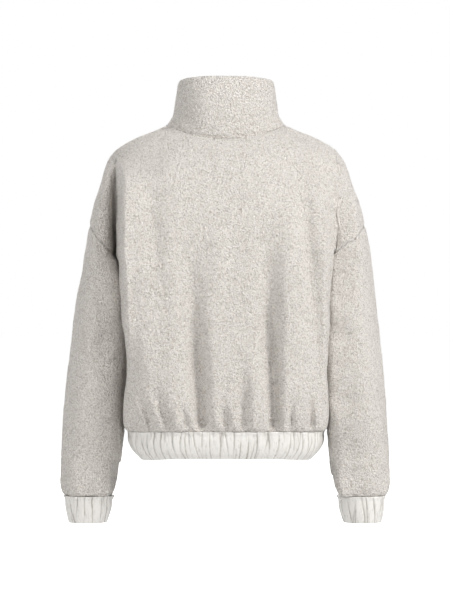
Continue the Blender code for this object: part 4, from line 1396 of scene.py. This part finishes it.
def band_rows(profile, top, bottom, ring, count):
    """Rows of a band from its seam down, with the last few rolled in at the bottom edge."""
    shares = np.linspace(0.0, 1.0, BAND_ROWS + 1)
    rows = []
    for share in shares * (1.0 - BAND_ROLL / (top - bottom)):
        sizes = [float(read(profile, name, share)) for name in names_of(profile)]
        points, out = along(ring(*sizes), np.linspace(0.0, 1.0, count + 1))
        rows.append((share, points, out, between(top, bottom, share), 0.0))
    points, out, z = rows[-1][1:4]
    for turn in np.linspace(0.0, math.pi / 2, ROLL_ROWS + 1)[1:]:
        drawn_in = BAND_ROLL * (1.0 - math.cos(turn))
        rows.append((1.0, points - out * drawn_in, out, z - BAND_ROLL * math.sin(turn), drawn_in))
    return rows


def satin_band(name, rows, length, spacing, seed, closed, finishes, drop=None):
    """A gathered band from its rows. Its puffs are low at both seams and full between them."""
    share = np.array([row[0] for row in rows])[:, None]
    columns = len(rows[0][1])
    run = np.linspace(0.0, length, columns)[None, :]
    outside = np.stack([row[1] for row in rows])
    outs = np.stack([row[2] for row in rows])
    z = np.stack([np.full(columns, row[3]) for row in rows])
    if drop is not None:
        z = z - drop(outside[..., 0], share)
    points = np.concatenate([outside, z[..., None]], axis=-1)
    normals = np.concatenate([outs, np.zeros_like(z)[..., None]], axis=-1)
    if closed:
        run, points, normals = run[:, :-1], points[:, :-1], normals[:, :-1]
    shape = points.shape[:2]
    flat = points.reshape(-1, 3)

    def spread(values):
        return np.broadcast_to(values, shape).reshape(-1)

    height, crease = gathered(run, share, length, spacing, seed)
    short = short_creases(run, share, length, spacing, seed + 1, round(length / spacing * SHORT_TO_A_GATHER))
    fullness = 0.55 + 0.45 * np.sin(math.pi * np.clip(share * 1.1 + 0.2, 0.0, 1.0))
    lift = spread((height * PUFF_HEIGHT - short) * fullness)
    for high, size, drawn_out, more in WRINKLES:
        lift = lift + spread(fullness) * high * lumps(flat * (1.0, 1.0, drawn_out), size, seed + more)
    # The edge that is sewn in stands up in an uneven ridge.
    least, swing, size = RIDGE_SWELLS
    ridge = spread(np.exp(-((share / RIDGE_REACH) ** 2))) * SEAM_RIDGE
    lift = lift + ridge * (least + swing * lumps(flat, size, seed + 5))
    grid = np.arange(shape[0] * shape[1]).reshape(shape)
    if closed:
        grid = np.concatenate([grid, grid[:, :1]], axis=1)
    wall = BAND_WALL - spread(np.array([row[4] for row in rows])[:, None])
    # tip is low at the creases and short creases, where the satin's colour is painted shade.
    tip = np.clip(1.0 - crease - short, 0.0, 1.0).reshape(-1)
    return cloth(name, flat, normals.reshape(-1, 3), lift, wall, [(grid, True)], finishes, tip=tip)


def hem_satin(finishes):
    """The hem's band, open at the zip. It drops a little towards the sides, as the fleece above it does."""

    def drop(x, share):
        most = between(SEAM_SIDE_DROP, HEM_SIDE_DROP, share)
        return hem_drop(abs(x) / read(HEM_BAND, "half_width", share), most)

    length = length_of(hem_ring, HEM_BAND)
    rows = band_rows(HEM_BAND, HEM_SEAM_Z - SEAM_GAP, HEM_Z, hem_ring, round(length / BAND_STEP))
    return satin_band("hem_satin", rows, length, HEM_SPACING, 31, False, finishes, drop)


def cuff_satin(side, hand, finishes):
    """A sleeve's band."""

    def ring(outer, inner, back, front):
        out = LEFT_ARM_OUT if side > 0 else 0.0
        return cuff_ring(side, outer + out, inner + out, back, front)

    length = length_of(ring, CUFF_BAND)
    count = round(length / BAND_STEP * CUFF_STEP_SHARE)
    rows = band_rows(CUFF_BAND, CUFF_SEAM_Z - SEAM_GAP, CUFF_Z, ring, count)
    return satin_band("cuff_satin_" + hand, rows, length, CUFF_SPACING, 47 + side, True, finishes)


# ---------- Zip ----------

# The tape's columns, its ribs, and how many of its rows lie between two rows of the front
TAPE_COLUMNS = 31
TAPE_ROWS = 5
RIB_HEIGHT = 0.12
RIBS = 2.6
TAPE_LOW = 0.1

# One tooth, and the stretch of the chain that the teeth fill
TOOTH_PITCH = 2.9
TOOTH_SIZE = (2.7, 2.4, 1.7)
TOOTH_FROM_CENTRE = 1.35
HEAD_DRAWN_OUT = ((0.9, 0.8, 0.7), (0.8, 0.75, 0.8))
TOOTH_BEVEL = 0.22
TEETH_BEGIN = 12.0
TEETH_STOP_SHORT = 14.0
TEETH_SIGHT = 2.0

# The box at the bottom of the chain
BOX_SIZE = (8.4, 3.0, 11.0)
BOX_RAISED = 6.0
BOX_INSET = (1.1, -0.35)
BOX_BEVEL = 0.35

# Degrees between two faces of metal up to which they are shaded as one
SHARPEST_SMOOTHED = 35.0


def tape_cloth(side, hand, finishes):
    """A woven tape, a little ribbed along its length, in the place of its solid."""
    heights = zip_heights()
    rows = np.linspace(0, len(heights) - 1, (len(heights) - 1) * TAPE_ROWS + 1)
    fine = np.interp(rows, np.arange(len(heights)), heights)
    x, z = np.meshgrid(side * (TAPE_HALF_GAP + np.linspace(0.0, TAPE_WIDTH, TAPE_COLUMNS)), fine)
    y = np.interp(z, heights, tape_front(heights))
    points = np.stack([x, y, z], axis=-1).reshape(-1, 3)
    grid = np.arange(len(points)).reshape(x.shape)
    normals = outward(points, grid_faces(grid, side < 0))
    lift = RIB_HEIGHT * np.sin(x * RIBS).reshape(-1) - TAPE_LOW
    wall = np.full(len(points), TAPE_WALL)
    return cloth("zip_tape_" + hand + "_woven", points, normals, lift, wall, [(grid, side < 0)], finishes)


def deselect():
    """Nothing is selected, so that an operator acts only on what it is given."""
    for thing in bpy.context.selected_objects:
        thing.select_set(False)


def place_at_origin(thing):
    """Puts an object's place, turn and size into its mesh."""
    deselect()
    thing.select_set(True)
    bpy.context.view_layer.objects.active = thing
    bpy.ops.object.transform_apply(location=True, rotation=True, scale=True)


def joined(things, name):
    """Several objects as one piece."""
    deselect()
    for thing in things:
        thing.select_set(True)
    bpy.context.view_layer.objects.active = things[0]
    bpy.ops.object.join()
    things[0].name = name
    things[0].data.name = name
    return things[0]


def picked(thing, test):
    """In edit mode: selects just the faces whose normal passes the test."""
    mesh = bmesh.from_edit_mesh(thing.data)
    for face in mesh.faces:
        face.select_set(bool(test(face.normal)))
    bmesh.update_edit_mesh(thing.data)


def block(size, place):
    """A plain block, in millimetres, open for editing."""
    deselect()
    bpy.ops.mesh.primitive_cube_add(size=1.0, location=[value * MM for value in place])
    made = bpy.context.active_object
    made.scale = [value * MM for value in size]
    place_at_origin(made)
    bpy.ops.object.mode_set(mode="EDIT")
    return made


def bevelled(offset, segments):
    """Bevels every edge of the block that is open for editing, and closes it."""
    bpy.ops.mesh.select_all(action="SELECT")
    bpy.ops.mesh.bevel(offset=offset * MM, segments=segments, affect="EDGES")
    bpy.ops.object.mode_set(mode="OBJECT")


def single_tooth():
    """One metal tooth of the zip, whose head points to +X: a block, drawn out to a narrower head."""
    tooth = block(TOOTH_SIZE, (0.0, 0.0, 0.0))
    picked(tooth, lambda normal: normal.x > 0.9)
    for out, deep, high in HEAD_DRAWN_OUT:
        bpy.ops.mesh.extrude_region_move(TRANSFORM_OT_translate={"value": (out * MM, 0, 0)})
        bpy.ops.transform.resize(value=(1.0, deep, high))
    bevelled(TOOTH_BEVEL, 1)
    return tooth


def zip_box(y, z):
    """The box that the chain ends in at the hem."""
    box = block(BOX_SIZE, (0.0, y, z))
    picked(box, lambda normal: normal.y < -0.9)
    thickness, depth = BOX_INSET
    bpy.ops.mesh.inset(thickness=thickness * MM, depth=depth * MM)
    bevelled(BOX_BEVEL, 2)
    return box


def zip_teeth(finish):
    """Two rows of teeth that lock into each other down the centre line, and the box they end in."""
    heights = zip_heights()
    front = tape_front(heights) - SEAM_GAP - CHAIN_WALL / 2
    run = run_of(heights, front)
    tooth = single_tooth()
    teeth = []
    for number in range(int((run[-1] - TEETH_STOP_SHORT) / (TOOTH_PITCH / 2))):
        side = 1 if number % 2 else -1
        at = TEETH_BEGIN + number * TOOTH_PITCH / 2 + np.array([-TEETH_SIGHT, 0.0, TEETH_SIGHT])
        y, z = np.interp(at, run, front), np.interp(at, run, heights)
        turned = Matrix.Rotation(-math.atan2(y[2] - y[0], z[2] - z[0]), 4, "X")
        if side > 0:
            turned = turned @ Matrix.Rotation(math.pi, 4, "Z")
        copy = new_object("tooth", tooth.data.copy())
        copy.data.transform(Matrix.Translation(Vector((side * TOOTH_FROM_CENTRE, y[1], z[1])) * MM) @ turned)
        teeth.append(copy)
    bpy.data.objects.remove(tooth)
    chain = joined([*teeth, zip_box(front[0], heights[0] + BOX_RAISED)], "zip_teeth")
    chain.data.materials.clear()
    chain.data.materials.append(finish)
    deselect()
    chain.select_set(True)
    bpy.ops.object.shade_smooth_by_angle(angle=math.radians(SHARPEST_SMOOTHED))
    return chain


# ---------- Finishes ----------


class Nodes:
    """Short words for laying out the nodes of one material or one group."""

    def __init__(self, tree, shader=None):
        self.tree = tree
        self.shader = shader

    def put(self, socket, value):
        """An input is a value, or another node's output that is linked to it."""
        if isinstance(value, bpy.types.NodeSocket):
            self.tree.links.new(value, socket)
        else:
            socket.default_value = value

    def add(self, kind, settings=None, **inputs):
        """A node with its settings and its inputs, each by its name or as i and its number."""
        node = self.tree.nodes.new("ShaderNode" + kind)
        for name, value in (settings or {}).items():
            setattr(node, name, value)
        for name, value in inputs.items():
            self.put(node.inputs[int(name[1:]) if name[1:].isdigit() else name.replace("_", " ")], value)
        return node

    def math(self, operation, a, b=0.0, c=0.0):
        """The result of one sum."""
        return self.add("Math", {"operation": operation}, i0=a, i1=b, i2=c).outputs[0]

    def blend(self, share, a, b):
        """A colour between two."""
        return self.add("Mix", {"data_type": "RGBA"}, i0=share, i6=(*a, 1.0), i7=(*b, 1.0)).outputs[2]

    def ranged(self, value, low, high, to_low, to_high):
        """A value that goes from one number to another while the given one does."""
        return self.add("MapRange", i0=value, i1=low, i2=high, i3=to_low, i4=to_high).outputs[0]

    def noise(self, place, scale, detail, **more):
        """Soft noise, fine or wide."""
        return self.add("TexNoise", Vector=place, Scale=scale, Detail=detail, **more).outputs

    def place(self, stretch=None):
        """Where a point lies on the object, or that place with one or more of its measures drawn out."""
        place = self.add("TexCoord").outputs["Object"]
        return place if stretch is None else self.add("Mapping", Vector=place, Scale=stretch).outputs[0]

    def tip(self):
        """How high a point lies in its tuft or its puff, which sets the painted shade of the pile and the
        satin.
        """
        return self.add("Attribute", {"attribute_name": "tip"}).outputs["Fac"]

    def use(self, tree, **inputs):
        """A group placed among these nodes."""
        return self.add("Group", {"node_tree": tree}, **inputs).outputs[0]

    def give(self, **inputs):
        """Sets or links inputs of the shader."""
        for name, value in inputs.items():
            self.put(self.shader.inputs[name.replace("_", " ")], value)

    def relief(self, height, strength, distance):
        """The fine relief of the surface."""
        self.give(Normal=self.add("Bump", Strength=strength, Distance=distance, Height=height).outputs[0])


def group(name, inputs, output):
    """An empty node group: its tree, its nodes, its inputs by name, and a function that sets its output."""
    tree = bpy.data.node_groups.new(name, "ShaderNodeTree")
    for label, kind, value in inputs:
        socket = tree.interface.new_socket(name=label, in_out="INPUT", socket_type="NodeSocket" + kind)
        if value is not None:
            socket.default_value = value
    label, kind = output
    tree.interface.new_socket(name=label, in_out="OUTPUT", socket_type="NodeSocket" + kind)
    start = tree.nodes.new("NodeGroupInput")
    end = tree.nodes.new("NodeGroupOutput")
    return tree, Nodes(tree), start.outputs, lambda result: tree.links.new(result, end.inputs[label])


def tone_group():
    """Slight changes of tone over a whole piece of cloth, which every cloth here has."""
    colour, size, amount = ("Colour", "Color", None), ("Size", "Float", 12.0), ("Amount", "Float", 0.1)
    tree, n, inputs, give = group("cloth_tone", (colour, size, amount), ("Colour", "Color"))
    wide = n.noise(n.place(), inputs["Size"], 3.0, Roughness=0.6)["Fac"]
    swing = n.math("MULTIPLY", n.math("SUBTRACT", wide, 0.5), inputs["Amount"])
    give(n.add("HueSaturation", Value=n.math("ADD", swing, 1.0), Color=inputs["Colour"]).outputs[0])
    return tree


def thread_group():
    """The fine over and under of woven or knitted threads."""
    values = ("Scale", "Float", 900.0), ("Slant", "Float", 0.4)
    tree, n, inputs, give = group("fine_threads", values, ("Height", "Float"))
    parts = n.add("SeparateXYZ", Vector=n.place()).outputs
    level = n.math("ADD", parts["X"], n.math("MULTIPLY", parts["Y"], 0.7))
    slanted = n.math("ADD", level, n.math("MULTIPLY", parts["Z"], inputs["Slant"]))
    over = n.math("SINE", n.math("MULTIPLY", slanted, inputs["Scale"]))
    under = n.math("SINE", n.math("MULTIPLY", parts["Z"], inputs["Scale"]))
    give(n.math("MULTIPLY", n.math("ADD", over, under), 0.5))
    return tree


def finish(name, colour, **constants):
    """A new material and its nodes, with the values that are the same all over set on its shader."""
    made = bpy.data.materials.new(name)
    made.use_nodes = True
    n = Nodes(made.node_tree, made.node_tree.nodes["Principled BSDF"])
    n.give(Base_Color=(*colour, 1.0), **constants)
    return made, n


def curly_pile(tone):
    """Cream pile of tight curls: pale tips over gaps of painted shade, a soft sheen and a rough, crumbly
    relief.
    """
    made, n = finish("curly_pile", (0.74, 0.70, 0.65), Roughness=0.95, Sheen_Weight=0.25, Sheen_Roughness=0.5)
    n.give(Specular_IOR_Level=0.15)
    place = n.place()
    fibre = n.noise(place, 1500.0, 3.0, Roughness=0.7)["Fac"]
    stir = n.noise(place, 240.0, 2.0)["Color"]
    stirred = n.add("VectorMath", {"operation": "MULTIPLY_ADD"}, i0=stir, i1=(0.004,) * 3, i2=place)
    place = stirred.outputs[0]
    wide = n.add("TexVoronoi", {"feature": "SMOOTH_F1"}, Vector=place, Scale=410.0, Smoothness=0.1)
    small = n.add("TexVoronoi", {"feature": "F1"}, Vector=place, Scale=720.0)
    wide, small = wide.outputs["Distance"], small.outputs["Distance"]
    apart = n.math("ADD", n.math("MULTIPLY", wide, 0.9), n.math("MULTIPLY", small, 0.45))
    height = n.math("ADD", n.math("SUBTRACT", 1.0, apart), n.math("MULTIPLY", fibre, 0.25))
    # Painted shade: dark low in each tuft and between curls, pale on the tips; the fibre noise is real grain.
    pale = n.ranged(n.math("ADD", height, n.math("MULTIPLY", n.tip(), 0.3)), 0.1, 0.95, 0.0, 1.0)
    colour = n.blend(pale, (0.50, 0.448, 0.395), (0.96, 0.918, 0.866))
    n.give(Base_Color=n.use(tone, Colour=colour, Size=14.0, Amount=0.07))
    n.relief(height, 1.0, 0.0034)
    return made


def brushed_backing(tone, threads):
    """The fleece's inside: a short, brushed knit."""
    made, n = finish("brushed_backing", (0.70, 0.66, 0.61), Roughness=0.9, Sheen_Weight=0.3)
    nap = n.noise(n.place(), 420.0, 4.0, Roughness=0.7)["Fac"]
    height = n.math("ADD", nap, n.math("MULTIPLY", n.use(threads, Scale=1900.0, Slant=0.0), 0.3))
    colour = n.blend(height, (0.60, 0.56, 0.51), (0.76, 0.72, 0.67))
    n.give(Base_Color=n.use(tone, Colour=colour, Size=18.0, Amount=0.10))
    n.relief(height, 0.5, 0.001)
    return made


def gathered_satin(tone, threads):
    """Shiny woven satin: a smooth face with fine crinkles down from each gather, and painted shade in the
    gathers.
    """
    made, n = finish("gathered_satin", (0.74, 0.71, 0.67), Sheen_Weight=0.1, Specular_IOR_Level=1.0)
    n.give(Coat_Weight=0.25, Coat_Roughness=0.3)
    crinkle = n.noise(n.place((1.0, 1.0, 0.22)), 330.0, 3.0, Roughness=0.55, Distortion=0.6)["Fac"]
    weave = n.use(threads, Scale=5200.0, Slant=0.5)
    # Painted shade: darkest where the tip is low, in the creases and on the inside, and along the crinkles.
    shade = n.math("ADD", n.tip(), n.math("MULTIPLY", n.math("SUBTRACT", crinkle, 0.5), 0.8))
    colour = n.blend(n.add("Clamp", Value=shade).outputs[0], (0.33, 0.30, 0.27), (0.69, 0.67, 0.635))
    n.give(Base_Color=n.use(tone, Colour=colour, Size=25.0, Amount=0.06))
    n.give(Roughness=n.ranged(crinkle, 0.3, 0.7, 0.24, 0.38))
    n.relief(n.math("ADD", crinkle, n.math("MULTIPLY", weave, 0.03)), 0.5, 0.0012)
    return made


def woven_tape(tone, threads):
    """The zip's tape: a close, flat weave."""
    made, n = finish("woven_tape", (0.66, 0.62, 0.57), Roughness=0.75, Sheen_Weight=0.2)
    weave = n.use(threads, Scale=4200.0, Slant=0.7)
    colour = n.blend(n.math("MULTIPLY_ADD", weave, 0.5, 0.5), (0.56, 0.52, 0.47), (0.74, 0.70, 0.65))
    n.give(Base_Color=n.use(tone, Colour=colour, Size=60.0, Amount=0.08))
    n.relief(weave, 0.7, 0.0005)
    return made


def pale_metal(name, scale):
    """Tumbled pale metal, with fine scratches and a duller cast here and there."""
    made, n = finish(name, (0.73, 0.715, 0.69), Metallic=1.0)
    cloud = n.noise(n.place(), scale, 4.0, Roughness=0.65)["Fac"]
    scratch = n.noise(n.place((1.0, 1.0, 0.08)), scale * 9.0, 3.0)["Fac"]
    both = n.math("ADD", n.math("MULTIPLY", cloud, 0.6), n.math("MULTIPLY", scratch, 0.4))
    n.give(Roughness=n.ranged(both, 0.3, 0.7, 0.2, 0.42))
    n.give(Base_Color=n.blend(both, (0.60, 0.585, 0.56), (0.82, 0.81, 0.79)))
    n.relief(scratch, 0.2, 0.0003)
    return made


# ---------- The jacket ----------

tone, threads = tone_group(), thread_group()
pile, backing = curly_pile(tone), brushed_backing(tone, threads)
satin, tape_weave = gathered_satin(tone, threads), woven_tape(tone, threads)
teeth_metal, slider_metal = pale_metal("teeth_metal", 260.0), pale_metal("slider_metal", 180.0)

# What each panel was cut to: width, length and flat area.
FLEECE_CUTS = {
    "back": (0.66, 0.61, 0.325),
    "front_left": (0.34, 0.58, 0.144),
    "front_right": (0.34, 0.58, 0.144),
    "sleeve_left": (0.44, 0.47, 0.168),
    "sleeve_right": (0.44, 0.47, 0.168),
    "collar": (0.65, 0.11, 0.055),
}

for name, piece in fleece_panels([pile, backing]).items():
    width, length, area = FLEECE_CUTS[name]
    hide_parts(name)
    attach(piece, "jacket")

hem = hem_satin([satin])
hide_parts("hem_band")
cuffs = {"cuff_" + hand: cuff_satin(side, hand, [satin]) for side, hand in HANDS.items()}
for name, cuff in cuffs.items():
    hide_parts(name)
for piece in (hem, *cuffs.values()):
    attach(piece, "jacket")

for side, hand in HANDS.items():
    woven = tape_cloth(side, hand, [tape_weave])
    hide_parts("zip_tape_" + hand)
    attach(woven, "jacket")

teeth = zip_teeth(teeth_metal)
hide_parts("zip_chain")
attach(teeth, "jacket")
for name in ("zip_slider", "zip_pull"):
    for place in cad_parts[name].material_slots:
        place.material = slider_metal

# ---------- Floor, light and camera ----------

FLOOR_Z = -0.80
JACKET_MIDDLE = Vector((0.0, 0.0, -0.3))


def floor():
    """A plain pale floor, wide enough to run out of every view."""
    deselect()
    bpy.ops.mesh.primitive_plane_add(size=60.0, location=(0.0, 0.0, FLOOR_Z))
    made = bpy.context.active_object
    made.name = "floor"
    place_at_origin(made)
    white, n = finish("floor_white", (0.7, 0.7, 0.7), Roughness=0.9, Emission_Color=(1.0, 1.0, 1.0, 1.0))
    n.give(Emission_Strength=n.math("MULTIPLY", n.add("LightPath").outputs["Is Camera Ray"], 0.8))
    made.data.materials.append(white)


def soft_light(name, place, size, power):
    """A large soft light that looks at the jacket's middle."""
    data = bpy.data.lights.new(name, "AREA")
    data.shape, data.size, data.energy = "DISK", size, power
    lamp = new_object(name, data)
    lamp.location = place
    lamp.rotation_mode = "QUATERNION"
    lamp.rotation_quaternion = (JACKET_MIDDLE - Vector(place)).to_track_quat("-Z", "Y")


floor()
soft_light("key", (-3.2, 2.3, 1.5), 1.8, 152.0)
soft_light("fill", (1.3, 3.9, 0.9), 2.2, 56.0)
soft_light("side", (3.4, 1.9, 0.7), 1.8, 26.0)
soft_light("top", (0.0, 0.4, 3.2), 2.2, 24.0)
soft_light("front", (0.8, -3.2, 1.6), 2.6, 100.0)


def studio():
    """A white backdrop that lights the jacket less than it is bright itself."""
    world = bpy.data.worlds.new("studio")
    world.use_nodes = True
    backdrop = Nodes(world.node_tree, world.node_tree.nodes["Background"])
    seen = backdrop.add("LightPath").outputs["Is Camera Ray"]
    backdrop.give(Color=(1.0, 1.0, 1.0, 1.0), Strength=backdrop.math("MULTIPLY_ADD", seen, 0.72, 0.28))
    bpy.context.scene.world = world


def camera():
    """Looks level at the back of the jacket, from as far away as in the photo."""
    data = bpy.data.cameras.new("camera")
    data.lens, data.sensor_width = 141.2, 36.0
    made = new_object("camera", data)
    made.location = (0.0017, 4.0, -0.287)
    made.rotation_euler = (math.pi / 2, 0.0, math.pi)
    bpy.context.scene.camera = made


studio()
camera()
bpy.context.scene.view_settings.view_transform = "Standard"
